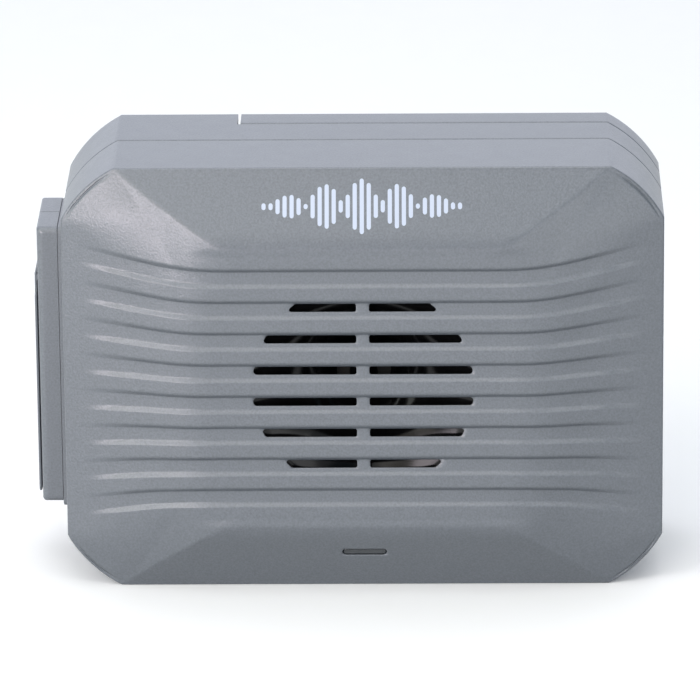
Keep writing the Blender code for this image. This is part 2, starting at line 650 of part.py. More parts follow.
def cell_with_contacts(number, x, up):
    """An AA cell with its nub up (+1) or down (-1), the plate that it meets and the spring at its base."""
    half_bay = BAY_LENGTH / 2
    nub_end = half_bay - GAP - CONTACT_THICKNESS - GAP
    shoulder = nub_end - 0.001
    base = shoulder - CELL_LENGTH
    edge, nub = 0.0006, 0.0027
    profile = [
        (CELL_RADIUS - edge, base),
        (CELL_RADIUS, base + edge),
        (CELL_RADIUS, shoulder - edge),
        (CELL_RADIUS - edge, shoulder),
        (nub, shoulder),
        (nub, nub_end),
    ]
    centre = (x, CELL_Y, MIDDLE_Z)
    turned(f"cell_{number}", [(r, up * z) for r, z in profile], centre, "Z", 20, finish="cell_jacket")
    plate = sorted((MIDDLE_Z + up * (nub_end + GAP), MIDDLE_Z + up * (half_bay - GAP)))
    box(f"contact_plate_{number}", (x - 0.005, 0.0145, plate[0]), (x + 0.005, 0.0240, plate[1]), "steel")
    contact_spring(f"contact_spring_{number}", centre, up * (base - GAP), -up * (half_bay - GAP))


def contact_spring(name, centre, cell_end, bay_end):
    """A conical coil spring along Z from the cell's base to the bay's end."""
    turns, steps, sides, wire = 3, 10, 5, 0.00035
    near, far = 0.0026, 0.0045
    toward = math.copysign(wire, bay_end - cell_end)
    upright = Vector((0, 0, 1))
    builder = bmesh.new()
    rings = []
    for i in range(turns * steps + 1):
        share = i / (turns * steps)
        angle = 2 * math.pi * turns * share
        outward = Vector((math.cos(angle), math.sin(angle), 0))
        along = cell_end + toward + (bay_end - cell_end - 2 * toward) * share
        middle = Vector(centre) + (near + (far - near) * share) * outward + along * upright
        ring = []
        for k in range(sides):
            turn = 2 * math.pi * k / sides
            offset = math.cos(turn) * outward + math.sin(turn) * upright
            ring.append(builder.verts.new(middle + wire * offset))
        rings.append(ring)
    for a, b in zip(rings, rings[1:]):
        for k in range(sides):
            builder.faces.new((a[k], a[(k + 1) % sides], b[(k + 1) % sides], b[k]))
    builder.faces.new(rings[0])
    builder.faces.new(rings[-1])
    return add_object(name, builder, "steel")


# ---------------------------------------------------------------- the control box


def control_block(name, ends, z, half, finish="grey_plastic", bevel=0.0):
    """A block in the row of controls: its ends along X, and its half sizes (y, z) about CONTROL_Y and z."""
    low = (ends[0], CONTROL_Y - half[0], z - half[1])
    return box(name, low, (ends[1], CONTROL_Y + half[0], z + half[1]), finish, bevel)


def side_plate():
    """The plate that the controls stand in, with a lip below the box."""
    low = (PLATE_X, BOX_FRONT_Y, BOX_LOW_Z - 0.0012)
    plate = box("control_plate", low, (LEFT_X - BOX_GAP, BOX_BACK_Y, BOX_HIGH_Z))
    for z, radius in ((KNOB_Z, 0.0019), (BUTTON_Z, 0.0028), (JACK_Z, 0.0043)):
        cut(plate, rod("hole", (0, CONTROL_Y, z), radius, -0.08, -0.06, "X", 20))
    cut(plate, control_block("slot", (-0.08, -0.06), SLIDER_Z, (0.0022, 0.0042)))
    return plate


def side_box():
    """The two halves of the box round the controls, split at the case's seam."""
    for name, seam_y, outer_y in (
        ("control_box_front", SEAM_Y - SEAM_GAP, BOX_FRONT_Y),
        ("control_box_rear", SEAM_Y + SEAM_GAP, BOX_BACK_Y),
    ):
        half = prism(name, box_outline(seam_y, outer_y), BOX_X, PLATE_X - BOX_GAP, "X")
        recess_low, recess_high = (RECESS_FRONT_Y, RECESS_LOW_Z), (RECESS_BACK_Y, RECESS_HIGH_Z)
        cut(half, box("recess", (-0.09, *recess_low), (-0.06, *recess_high)))
        cut(half, rod("pin_hole", (HINGE.x, 0, HINGE.z), HINGE_PIN_RADIUS + 0.0002, -0.0077, 0.0167, "Y"))


def box_outline(seam_y, outer_y):
    """Half of the box's outline (y, z), from its seam to its outer side, with two corners cut off."""
    inset_y = outer_y - math.copysign(BOX_CORNER, outer_y - seam_y)
    return [
        (seam_y, BOX_LOW_Z),
        (inset_y, BOX_LOW_Z),
        (outer_y, BOX_LOW_Z + BOX_CORNER),
        (outer_y, BOX_HIGH_Z - BOX_CORNER),
        (inset_y, BOX_HIGH_Z),
        (seam_y, BOX_HIGH_Z),
    ]


def controls():
    """Switches, jack and board inside the left wall, and the pin that the flap hangs on."""
    ends = (LEFT_X + 0.0002, CONTROL_BACK_X)
    rotary = control_block("selector_switch", ends, KNOB_Z, (0.005, 0.005), "black_plastic")
    cut(rotary, rod("bore", (0, CONTROL_Y, KNOB_Z), 0.0018, -0.08, CONTROL_BACK_X - 0.002, "X"))
    control_block("power_switch", ends, SLIDER_Z, (0.0035, 0.0055), "black_plastic")
    behind_button = (LEFT_X + 0.0018, CONTROL_BACK_X)
    control_block("test_switch", behind_button, BUTTON_Z, (0.003, 0.003), "black_plastic")
    socket = [(0.0, -0.0660), (0.0028, -0.0660), (0.0028, -0.0732)]
    barrel = [(0.0040, -0.0732), (0.0040, CONTROL_BACK_X), (0.0, CONTROL_BACK_X)]
    turned("power_jack", socket + barrel, (0, CONTROL_Y, JACK_Z), "X", 20, finish="black_plastic")
    pin = [(0.0, -0.0724), (0.0008, -0.0718), (0.0010, -0.0715), (0.0010, -0.0663)]
    turned("power_jack_pin", pin, (0, CONTROL_Y, JACK_Z), "X", 10, finish="brass")
    board_ends = (CONTROL_BOARD_X, CONTROL_BOARD_X + BOARD_THICKNESS)
    control_block("control_board", board_ends, 0.047, (0.007, 0.0235), "board")
    rod("hinge_pin", (HINGE.x, 0, HINGE.z), HINGE_PIN_RADIUS, -0.0074, 0.0164, "Y", 12, "steel")


def selector_knob():
    profile = [(0.0060, -0.0729), (0.0060, -0.0745), (0.0056, -0.0765), (0.0050, -0.0769)]
    knob = turned("selector_knob", profile, (0, CONTROL_Y, KNOB_Z), "X", 24, finish="black_plastic")
    low = (-0.0771, CONTROL_Y - 0.0004, KNOB_Z)
    cut(knob, box("pointer", low, (-0.0764, CONTROL_Y + 0.0004, KNOB_Z + 0.007)))
    join(knob, rod("shaft", (0, CONTROL_Y, KNOB_Z), 0.0015, -0.0735, -0.0668, "X", 12))
    return knob


def power_slider():
    ends = (LEFT_X - 0.0045, LEFT_X - 0.0001)
    return control_block("power_slider", ends, SLIDER_Z - 0.002, (0.0016, 0.0016), "white_plastic", 0.0003)


def test_button():
    """A round cap on a flange that stands behind the plate."""
    flange = [(0.0035, LEFT_X + 0.0008), (0.0035, LEFT_X + 0.0002), (0.0024, LEFT_X + 0.0002)]
    cap = [(0.0024, -0.0749), (0.0020, -0.0753)]
    centre = (0, CONTROL_Y, BUTTON_Z)
    return turned("test_button", flange + cap, centre, "X", 20, finish="white_plastic")


def control_flap():
    """A thin flap that hangs from a barrel at its top, a little further out at its bottom."""
    low_y, high_y = RECESS_FRONT_Y - FLAP_MARGIN, RECESS_BACK_Y + FLAP_MARGIN
    barrel_low, barrel_high = RECESS_FRONT_Y + GAP, RECESS_BACK_Y - GAP
    top, neck, bottom = HINGE.z + 0.001, HINGE.z - 0.004, RECESS_LOW_Z - 0.0015
    outline = [(low_y, bottom), (high_y, bottom), (high_y, neck), (barrel_high, neck)]
    outline += [(barrel_high, top), (barrel_low, top), (barrel_low, neck), (low_y, neck)]
    inner_x = BOX_X - GAP
    flap = prism("control_flap", outline, inner_x - FLAP_THICKNESS, inner_x, "X")
    for vertex in flap.data.vertices:
        vertex.co.x -= FLAP_LEAN * (top - vertex.co.z) / (top - bottom)
    web_low = (inner_x - FLAP_THICKNESS / 2, barrel_low, HINGE.z - 0.0008)
    join(flap, box("web", web_low, (HINGE.x, barrel_high, HINGE.z + 0.0005)))
    place = (HINGE.x, 0, HINGE.z)
    join(flap, rod("barrel", place, BARREL_RADIUS, barrel_low + 0.0001, barrel_high - 0.0001, "Y", 16))
    cut(flap, rod("bore", place, HINGE_PIN_RADIUS + 0.00015, -0.02, 0.03, "Y", 16))
    return flap


# ---------------------------------------------------------------- assembly


def set_origin(obj, place):
    """Moves the object's origin, and leaves its shape where it is."""
    obj.data.transform(Matrix.Translation(-Vector(place)))
    obj.location = place


def group(name, place, objects):
    """An empty at the joint, with the pieces that move together as its children."""
    empty = bpy.data.objects.new(name, None)
    bpy.context.scene.collection.objects.link(empty)
    empty.location = place
    for obj in objects:
        set_origin(obj, place)
        obj.parent = empty
        obj.location = (0, 0, 0)


def case_screws():
    for x, z in corner_places(SCREW_X, SCREW_Z):
        number = screw_number(x, z)
        screw(f"case_screw_{number}", (x, z), SCREW_SEAT_Y + GAP, 0.0028, 0.0020, 0.0012, SCREW_TIP_Y)


def cover_screws():
    made = []
    for number, side in enumerate((-1, 1), 1):
        place = (BAY_X, MIDDLE_Z + side * COVER_SCREW_Z)
        head_y = COVER_SCREW_SEAT_Y + GAP
        made.append(screw(f"cover_screw_{number}", place, head_y, 0.0029, 0.0022, 0.0013, 0.0138))
    return made


def main():
    clear_scene()
    front_cover()
    rear_housing()
    case_screws()
    speaker()
    electronics()
    battery_bay()
    side_plate()
    side_box()
    controls()
    group("battery_cover_pivot", (BAY_X, BACK_Y, MIDDLE_Z), [battery_cover(), *cover_screws()])
    group("flap_pivot", HINGE, [control_flap()])
    group("selector_pivot", (PLATE_X, CONTROL_Y, KNOB_Z), [selector_knob()])
    group("slider_pivot", (PLATE_X, CONTROL_Y, SLIDER_Z - 0.002), [power_slider()])
    group("button_pivot", (PLATE_X, CONTROL_Y, BUTTON_Z), [test_button()])


main()
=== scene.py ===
"""Looks of the ultrasonic pest repeller: fine shells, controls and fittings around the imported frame,
with their materials, a pale floor and soft light. Metres, +Z up, the front faces -Y."""

import json
import math

import bmesh
import bpy
from mathutils import Matrix, Vector


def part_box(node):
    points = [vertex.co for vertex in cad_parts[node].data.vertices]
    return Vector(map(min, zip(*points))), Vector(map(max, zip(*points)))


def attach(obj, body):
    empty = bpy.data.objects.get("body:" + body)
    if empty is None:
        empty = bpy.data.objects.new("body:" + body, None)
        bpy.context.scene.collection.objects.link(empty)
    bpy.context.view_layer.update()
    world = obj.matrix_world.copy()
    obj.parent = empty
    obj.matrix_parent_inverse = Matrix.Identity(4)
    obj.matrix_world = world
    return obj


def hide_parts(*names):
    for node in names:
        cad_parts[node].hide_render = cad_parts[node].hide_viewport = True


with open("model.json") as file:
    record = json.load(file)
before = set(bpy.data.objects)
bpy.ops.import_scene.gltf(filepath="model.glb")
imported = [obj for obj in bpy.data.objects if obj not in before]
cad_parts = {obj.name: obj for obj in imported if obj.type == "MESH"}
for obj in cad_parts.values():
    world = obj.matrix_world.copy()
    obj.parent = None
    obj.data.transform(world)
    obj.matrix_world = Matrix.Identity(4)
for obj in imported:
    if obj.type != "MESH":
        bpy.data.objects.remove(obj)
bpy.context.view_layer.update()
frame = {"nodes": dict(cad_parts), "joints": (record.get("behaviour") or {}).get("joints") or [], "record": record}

# ---------------------------------------------------------------- places, from the frame

COVER_LOW, COVER_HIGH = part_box("front_cover")
BACK_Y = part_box("battery_cover")[1].y
MIDDLE = (COVER_LOW + COVER_HIGH) / 2
ON_AXIS = (MIDDLE.x, 0, MIDDLE.z)  # the line through the middle of the case, along Y
HALF_WIDTH = (COVER_HIGH.x - COVER_LOW.x) / 2
HALF_HEIGHT = (COVER_HIGH.z - COVER_LOW.z) / 2
WALL = 0.002
GAP = 0.0003
LIP_REACH = 0.002
SEAM_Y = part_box("rear_housing")[0].y + LIP_REACH

# The case's corners and crowned front, as in the design
CORNER_INSET, CORNER_RADIUS = 0.0133, 0.0323
CROWN = 0.0097
SIDE_BASE, SIDE_SLOPE = 0.0004, 0.29
TOP_BASE, TOP_SLOPE = 0.0004, 0.52
CORNER_BASE, CORNER_SLOPE = 0.0004, 0.32
CROWN_BLEND, CRISP_BLEND = 0.0020, 0.0002  # rounding of the creases, middle and corners
CRISP_FROM, CRISP_OVER = 0.042, 0.014
SIDE_CRISP_FROM, SIDE_CRISP_OVER = 0.072, 0.026
RIM_GROOVE_FROM, RIM_GROOVE_WIDTH, RIM_GROOVE_DEPTH = -0.0002, 0.0009, 0.00045  # line inside the corner arcs
FRONT_EDGE_Y = COVER_LOW.y + CROWN
EDGE_ROUND = 0.0006  # rounding between the front and the side walls
OUTLINE_STEPS = 18  # straight runs in each corner arc of a plain outline

# Ribs: eight grooves across the crown that fan out towards the sides
RIB_PITCH = 0.0082
GROOVES = 8
GROOVE_HALF = 0.00217
GROOVE_DEPTH = 0.0008
STEP_SHARP, STEP_SOFT = 0.0013, 0.0013  # widths of a groove's upper and lower flanks
STEP_RISE, STEP_ROUND = 0.0003, 0.22  # the lower flank: its shift upwards, and the rounding of its ends
FAN_START, FAN_OVER, FAN_RATE = 0.032, 0.029, 6.4
FADE_START, FADE_END = 0.055, 0.0720
FRAME_DEPTH, FRAME_FROM, FRAME_OVER = 0.00035, 0.0342, 0.0027  # the ribbed middle lies behind its creases
FRAME_END, FRAME_FADE = 0.045, 0.011

# Slots and status window
SLOT_ROWS, SLOT_RISE, SLOT_HALF = 6, 0.0005, 0.00105
SLOT_CIRCLE, BRIDGE_HALF = 0.0277, 0.0016
SLOT_ROUND, RIM_ROUND = (0.0005, 0.0009, 0.0009, 0.0005), 0.00035
SLOT_LIP, SLOT_RELIEF = 0.0005, 0.0006  # depth of a slot's lip, and how much wider it is behind it
WINDOW_Z = (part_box("light_guide")[0].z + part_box("light_guide")[1].z) / 2
WINDOW_HALF_LENGTH, WINDOW_HALF_HEIGHT = 0.0056, 0.00095

# Fits and fittings, as in the design
SPLIT_WIDTH = 0.0008
SEAM_CHAMFER, CHAMFER = 0.0004, 0.0003  # at the case's seam, and at the mouth of a hole
RIM = 0.0007  # rounding of the case's back edge
FLANGE = 0.003
KEYHOLE_ENTRY, KEYHOLE_SLOT, KEYHOLE_DROP = 0.004, 0.0021, 0.008
SCREW_HEAD, COVER_SCREW_HEAD = 0.0020, 0.0022
HORN_POST, HORN_FLANGE = 0.027, 0.0039
HORN_MOUTH, HORN_THROAT = 0.0275, 0.0068
POST_FRONT = 0.0015  # the posts start this far behind the plain crown, below the grooves' floors
FLAP_THICKNESS, FLAP_ROUND = 0.0006, 0.00015
BARREL_RADIUS, BARREL_BORE = 0.0015, 0.00085

# Print: a sound wave of upright bars
PRINT_BARS = 14
PRINT_HALF_WIDTH, PRINT_HALF_HEIGHT = 0.0243, 0.0062
PRINT_MIDDLE_Z = 0.1013
PRINT_BAR_WIDTH, PRINT_PROUD, PRINT_SUNK = 0.00105, 0.00004, 0.0002
WAVE_SWINGS, WAVE_FALL, WAVE_LEAST = 2.6, 1.7, 0.07

# Colours that more than one material uses, and the plastic's grain
GREY = (0.168, 0.184, 0.206)
GRAIN_DEPTH = 0.00012

# Camera and light
LENS, CAMERA_DISTANCE = 330.97, 1.60875
PITCH, YAW, ROLL = 18.35, -0.955, -0.534
AIM_LEFT, AIM_Z = 0.00332, 0.06223
FLOOR_HALF = 12.0
LIGHT_DISTANCE = 1.15
ROOM = (0.060, 0.105, 0.130)
BACKDROP = (1.10, 1.13, 1.27)


# ---------------------------------------------------------------- stage


def camera():
    """The camera, at the height and distance of a product shot, a little above the case."""
    data = bpy.data.cameras.new("camera")
    data.lens = LENS
    data.sensor_width = 36.0
    data.clip_start, data.clip_end = 0.1, 60.0
    made = bpy.data.objects.new("camera", data)
    bpy.context.scene.collection.objects.link(made)
    pitch, yaw, roll = math.radians(PITCH), math.radians(YAW), math.radians(ROLL)
    forward = Vector((math.sin(yaw) * math.cos(pitch), math.cos(yaw) * math.cos(pitch), -math.sin(pitch)))
    right = Vector((math.cos(yaw), -math.sin(yaw), 0.0))
    up = right.cross(forward)
    tilted = right * math.cos(roll) + up * math.sin(roll)
    upright = up * math.cos(roll) - right * math.sin(roll)
    turn = Matrix((tilted, upright, -forward)).transposed().to_4x4()
    target = Vector((MIDDLE.x - AIM_LEFT, FRONT_EDGE_Y, AIM_Z))
    made.matrix_world = Matrix.Translation(target - forward * CAMERA_DISTANCE) @ turn
    bpy.context.scene.camera = made


def soft_light(name, towards_light, strength, spread):
    """A far light with soft edges; towards_light points from the object to it."""
    data = bpy.data.lights.new(name, "SUN")
    data.energy = strength
    data.angle = math.radians(spread)
    made = bpy.data.objects.new(name, data)
    made.rotation_mode = "QUATERNION"
    made.rotation_quaternion = Vector(towards_light).to_track_quat("Z", "Y")
    bpy.context.scene.collection.objects.link(made)


def soft_box(name, towards_light, size, power, colour):
    """A square light that faces the case from LIGHT_DISTANCE away."""
    data = bpy.data.lights.new(name, "AREA")
    data.size = size
    data.energy = power
    data.color = colour
    made = bpy.data.objects.new(name, data)
    direction = Vector(towards_light).normalized()
    made.location = MIDDLE + direction * LIGHT_DISTANCE
    made.rotation_mode = "QUATERNION"
    made.rotation_quaternion = direction.to_track_quat("Z", "Y")
    made.visible_camera = False
    bpy.context.scene.collection.objects.link(made)


def studio_world():
    """A dark room in front of the object, and a wide pale backdrop behind it."""
    world = bpy.data.worlds.new("studio")
    world.use_nodes = True
    tree = world.node_tree
    split = tree.nodes.new("ShaderNodeSeparateXYZ")
    tree.links.new(tree.nodes.new("ShaderNodeTexCoord").outputs["Generated"], split.inputs["Vector"])
    behind = spread(tree, split.outputs["Y"], 0.0, 1.0, start=0.1, end=0.6)
    tree.links.new(mix(tree, behind, ROOM, BACKDROP), tree.nodes["Background"].inputs["Color"])
    return world


def stage():
    scene = bpy.context.scene
    scene.view_settings.view_transform = "Standard"
    scene.world = studio_world()
    soft_light("overhead", (0.0, -0.02, 1.0), 1.1, 56)
    soft_box("key_left", (-0.435, -0.819, 0.375), 0.70, 1.95, (1.0, 0.92, 0.80))
    soft_box("low_left", (-0.42, -0.90, 0.09), 0.40, 4.0, (1.0, 0.91, 0.98))
    soft_box("side_left", (-0.84, -0.48, 0.25), 0.85, 5.6, (0.97, 1.0, 0.95))
    soft_box("fill_right", (0.57, -0.75, 0.33), 0.85, 1.2, (0.97, 0.98, 1.0))
    soft_box("top_front", (-0.17, -0.80, 0.58), 0.55, 1.1, (1.0, 0.98, 0.96))
    soft_box("low_right", (0.42, -0.89, 0.10), 0.40, 0.85, (1.0, 1.0, 1.0))
    soft_box("high_middle", (0.0, -0.53, 0.85), 0.34, 1.1, (1.0, 0.98, 0.97))
    soft_box("high_right", (0.47, -0.55, 0.68), 0.30, 1.1, (1.0, 1.0, 1.0))
    soft_box("high_left", (-0.47, -0.55, 0.68), 0.42, 2.6, (1.0, 0.95, 0.98))
    builder = bmesh.new()
    bmesh.ops.create_grid(builder, x_segments=2, y_segments=2, size=FLOOR_HALF)
    floor = new_object("floor", builder, floor_material(), smooth=False)
    floor.visible_diffuse = False  # the case's underside would glow with the white floor's light


# ---------------------------------------------------------------- materials


def new_material(name, colour, roughness, metallic=0.0):
    """A material with its shader and a coordinate node, ready for its texture nodes."""
    made = bpy.data.materials.new(name)
    made.use_nodes = True
    shader = made.node_tree.nodes["Principled BSDF"]
    shader.inputs["Base Color"].default_value = (*colour, 1.0)
    shader.inputs["Roughness"].default_value = roughness
    shader.inputs["Metallic"].default_value = metallic
    return made, made.node_tree, shader


def coordinates(tree):
    return tree.nodes.new("ShaderNodeTexCoord").outputs["Object"]


def noise(tree, scale, detail, stretch=None):
    """A noise texture in object space; stretch scales its axes."""
    texture = tree.nodes.new("ShaderNodeTexNoise")
    texture.inputs["Scale"].default_value = scale
    texture.inputs["Detail"].default_value = detail
    source = coordinates(tree)
    if stretch:
        mapping = tree.nodes.new("ShaderNodeMapping")
        mapping.inputs["Scale"].default_value = stretch
        tree.links.new(source, mapping.inputs["Vector"])
        source = mapping.outputs["Vector"]
    tree.links.new(source, texture.inputs["Vector"])
    return texture.outputs["Fac"]


def spread(tree, value, low, high, start=0.3, end=0.7):
    """A number remapped from start..end to low..high."""
    node = tree.nodes.new("ShaderNodeMapRange")
    for slot, number in (("From Min", start), ("From Max", end), ("To Min", low), ("To Max", high)):
        node.inputs[slot].default_value = number
    tree.links.new(value, node.inputs["Value"])
    return node.outputs["Result"]


def ramp(tree, value, stops):
    """Colours along a number; stops are (place, (r, g, b))."""
    node = tree.nodes.new("ShaderNodeValToRGB")
    elements = node.color_ramp.elements
    while len(elements) < len(stops):
        elements.new(0.5)
    for element, (place, colour) in zip(elements, stops):
        element.position = place
        element.color = (*colour, 1.0)
    tree.links.new(value, node.inputs["Fac"])
    return node.outputs["Color"]


def mix(tree, factor, first, second):
    """second over first by factor; each is a socket or a colour."""
    node = tree.nodes.new("ShaderNodeMix")
    node.data_type = "RGBA"
    for slot, value in (("A", first), ("B", second)):
        socket = [s for s in node.inputs if s.name == slot and s.type == "RGBA"][0]
        connect(tree, value, socket)
    connect(tree, factor, node.inputs["Factor"])
    return [s for s in node.outputs if s.type == "RGBA"][0]


def connect(tree, value, socket):
    if isinstance(value, bpy.types.NodeSocket):
        tree.links.new(value, socket)
    elif isinstance(value, tuple):
        socket.default_value = (*value, 1.0)
    else:
        socket.default_value = value


def bump(tree, shader, height, strength, distance):
    """Fine relief on a shader from a height."""
    node = tree.nodes.new("ShaderNodeBump")
    node.inputs["Strength"].default_value = strength
    node.inputs["Distance"].default_value = distance
    tree.links.new(height, node.inputs["Height"])
    tree.links.new(node.outputs["Normal"], shader.inputs["Normal"])


def shade(colour, factor):
    return tuple(channel * factor for channel in colour)


def moulded_plastic(
    name, colour, roughness, grain_size=0.00045, grain=0.6, speckle=0.14, drift=0.012, shine=0.5
):
    """A satin moulding: spark-eroded grain, faint speckle, and slow changes of tone and gloss."""
    made, tree, shader = new_material(name, colour, roughness)
    shader.inputs["Specular IOR Level"].default_value = shine
    fine = noise(tree, 1.0 / grain_size, 1.5)
    slow = noise(tree, 40.0, 3.0)
    tone = ramp(tree, fine, [(0.30, shade(colour, 1 - speckle)), (0.70, shade(colour, 1 + speckle))])
    cloud = ramp(tree, slow, [(0.30, shade(colour, 1 - drift)), (0.70, shade(colour, 1 + drift))])
    tree.links.new(mix(tree, 0.4, tone, cloud), shader.inputs["Base Color"])
    gloss = spread(tree, noise(tree, 260.0, 3.0), roughness - 0.02, roughness + 0.02)
    tree.links.new(gloss, shader.inputs["Roughness"])
    bump(tree, shader, fine, grain, GRAIN_DEPTH)
    return made


def brushed_metal(name, colour, roughness):
    """A metal with fine scratches, stains and uneven gloss."""
    made, tree, shader = new_material(name, colour, roughness, 1.0)
    stain = noise(tree, 700.0, 4.0)
    stained = ramp(tree, stain, [(0.3, shade(colour, 0.78)), (0.7, colour)])
    tree.links.new(stained, shader.inputs["Base Color"])
    scratches = noise(tree, 1800.0, 3.0, stretch=(1.0, 1.0, 0.12))
    tree.links.new(spread(tree, scratches, roughness - 0.07, roughness + 0.14), shader.inputs["Roughness"])
    bump(tree, shader, scratches, 0.18, 0.00003)
    return made


def circuit_board():
    """Solder mask with copper tracks showing through as lighter bands, and small pads."""
    mask, track, pad = (0.010, 0.095, 0.045), (0.020, 0.165, 0.075), (0.62, 0.55, 0.36)
    made, tree, shader = new_material("circuit_board", mask, 0.36)
    weave = tree.nodes.new("ShaderNodeTexBrick")
    weave.inputs["Scale"].default_value = 160.0
    weave.inputs["Mortar Size"].default_value = 0.03
    for slot, grey in (("Color1", 0.0), ("Color2", 0.0), ("Mortar", 1.0)):
        weave.inputs[slot].default_value = (grey, grey, grey, 1.0)
    turn = tree.nodes.new("ShaderNodeMapping")
    turn.inputs["Rotation"].default_value = (math.pi / 2, 0.0, 0.0)
    tree.links.new(coordinates(tree), turn.inputs["Vector"])
    tree.links.new(turn.outputs["Vector"], weave.inputs["Vector"])
    dots = tree.nodes.new("ShaderNodeTexVoronoi")
    dots.inputs["Scale"].default_value = 210.0
    tree.links.new(coordinates(tree), dots.inputs["Vector"])
    with_tracks = mix(tree, weave.outputs["Color"], mask, track)
    pads = spread(tree, dots.outputs["Distance"], 1.0, 0.0, start=0.10, end=0.13)
    tree.links.new(mix(tree, pads, with_tracks, pad), shader.inputs["Base Color"])
    bump(tree, shader, weave.outputs["Color"], 0.3, 0.00004)
    return made


def cell_sleeve(name, up):
    """A printed cell sleeve: slate green with a pale band at the nub end, bare metal at both ends."""
    low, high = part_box("cell_1" if up > 0 else "cell_2")
    sleeve, band, bare = (0.055, 0.105, 0.085), (0.50, 0.52, 0.50), (0.62, 0.62, 0.62)
    sleeve_from, band_from, nub_from = 0.020, 0.86, 0.962  # shares of the cell's length, from its flat end
    made, tree, shader = new_material(name, sleeve, 0.28)
    split = tree.nodes.new("ShaderNodeSeparateXYZ")
    tree.links.new(coordinates(tree), split.inputs["Vector"])
    ends = (low.z, high.z) if up > 0 else (high.z, low.z)
    along = spread(tree, split.outputs["Z"], 0.0, 1.0, start=ends[0], end=ends[1])
    bands = ramp(tree, along, [(0.0, bare), (sleeve_from, sleeve), (band_from, band), (nub_from, bare)])
    bands.node.color_ramp.interpolation = "CONSTANT"
    scuff = noise(tree, 500.0, 4.0)
    worn = spread(tree, scuff, 0.0, 0.25, start=0.55, end=0.75)
    tree.links.new(mix(tree, worn, bands, (0.35, 0.33, 0.30)), shader.inputs["Base Color"])
    shares = ((0.0, 1.0), (sleeve_from, 0.25), (band_from, 0.15), (nub_from, 1.0))
    metal = ramp(tree, along, [(place, (share, share, share)) for place, share in shares])
    metal.node.color_ramp.interpolation = "CONSTANT"
    tree.links.new(metal, shader.inputs["Metallic"])
    tree.links.new(spread(tree, scuff, 0.22, 0.36), shader.inputs["Roughness"])
    bump(tree, shader, scuff, 0.10, 0.00004)
    return made


def floor_material():
    """Plain pale paper that glows a little, so that it stays near white towards its far side."""
    made, tree, shader = new_material("floor_paper", (0.93, 0.93, 0.93), 0.9)
    shader.inputs["Specular IOR Level"].default_value = 0.2
    paper = ramp(tree, noise(tree, 90.0, 4.0), [(0.3, (0.93, 0.93, 0.92)), (0.7, (0.945, 0.945, 0.935))])
    tree.links.new(paper, shader.inputs["Base Color"])
    shader.inputs["Emission Color"].default_value = (1.0, 0.98, 0.96, 1.0)
    shader.inputs["Emission Strength"].default_value = 0.07
    return made


def materials():
    """Every material by name, made once."""
    return {
        "grey": moulded_plastic("grey_abs", GREY, 0.30, 0.0005, 0.5, 0.20, shine=0.8),
        "grey_smooth": moulded_plastic("grey_abs_smooth", GREY, 0.42, grain=0.10, speckle=0.06),
        "horn": moulded_plastic("black_gloss", (0.006, 0.006, 0.0065), 0.12, 0.0010, 0.03, shine=0.25),
        "print": moulded_plastic("white_ink", (0.56, 0.62, 0.74), 0.42, 0.00045, 0.12, 0.015, 0.01),
        "black": moulded_plastic("black_satin", (0.014, 0.014, 0.015), 0.34, grain=0.12, speckle=0.10),
        "white": moulded_plastic("off_white", (0.60, 0.60, 0.575), 0.40, grain=0.08, speckle=0.02),
        "rubber": moulded_plastic("soft_rubber", (0.022, 0.022, 0.023), 0.75, grain=0.20),
        "cone": moulded_plastic("coated_film", (0.07, 0.065, 0.06), 0.7, grain_size=0.0004),
        "red_wire": moulded_plastic("red_insulation", (0.42, 0.022, 0.018), 0.38, grain=0.05),
        "black_wire": moulded_plastic("black_insulation", (0.013, 0.013, 0.014), 0.38, grain=0.05),
        "steel": brushed_metal("zinc_steel", (0.56, 0.57, 0.58), 0.27),
        "brass": brushed_metal("plain_brass", (0.66, 0.50, 0.21), 0.30),
        "board": circuit_board(),
        "sleeve_up": cell_sleeve("cell_sleeve_up", 1),
        "sleeve_down": cell_sleeve("cell_sleeve_down", -1),
        "lens": moulded_plastic("smoked_lens", (0.075, 0.082, 0.088), 0.16, grain_size=0.0010, grain=0.03),
    }


# ---------------------------------------------------------------- mesh building


def new_object(name, builder, material, smooth=True, angle=40):
    """An object from a bmesh, with outward normals; edges sharper than angle stay sharp."""
    bmesh.ops.recalc_face_normals(builder, faces=builder.faces)
    mesh = bpy.data.meshes.new(name)
    builder.to_mesh(mesh)
    builder.free()
    mesh.materials.append(material)
    if smooth:
        mesh.shade_smooth()
        mesh.set_sharp_from_angle(angle=math.radians(angle))
    made = bpy.data.objects.new(name, mesh)
    bpy.context.scene.collection.objects.link(made)
    return made


def loft(name, rings, material):
    """A closed solid through rings of points, with flat caps."""
    builder = bmesh.new()
    loops = [[builder.verts.new(point) for point in ring] for ring in rings]
    bridge(builder, loops)
    builder.faces.new(loops[0])
    builder.faces.new(loops[-1])
    return new_object(name, builder, material)


def bridge(builder, loops):
    """Faces between each loop of vertices and the next."""
    for a, b in zip(loops, loops[1:]):
        for i in range(len(a)):
            j = (i + 1) % len(a)
            builder.faces.new((a[i], a[j], b[j], b[i]))


def block(name, low, high, material, radius=0.0, segments=2):
    """An upright box with rounded edges."""
    builder = bmesh.new()
    bmesh.ops.create_cube(builder, size=1.0)
    low, high = Vector(low), Vector(high)
    bmesh.ops.scale(builder, vec=high - low, verts=builder.verts)
    bmesh.ops.translate(builder, vec=(low + high) / 2, verts=builder.verts)
    if radius:
        edges = builder.edges[:]
        bmesh.ops.bevel(builder, geom=edges, offset=radius, segments=segments, affect="EDGES", profile=0.5)
    return new_object(name, builder, material)


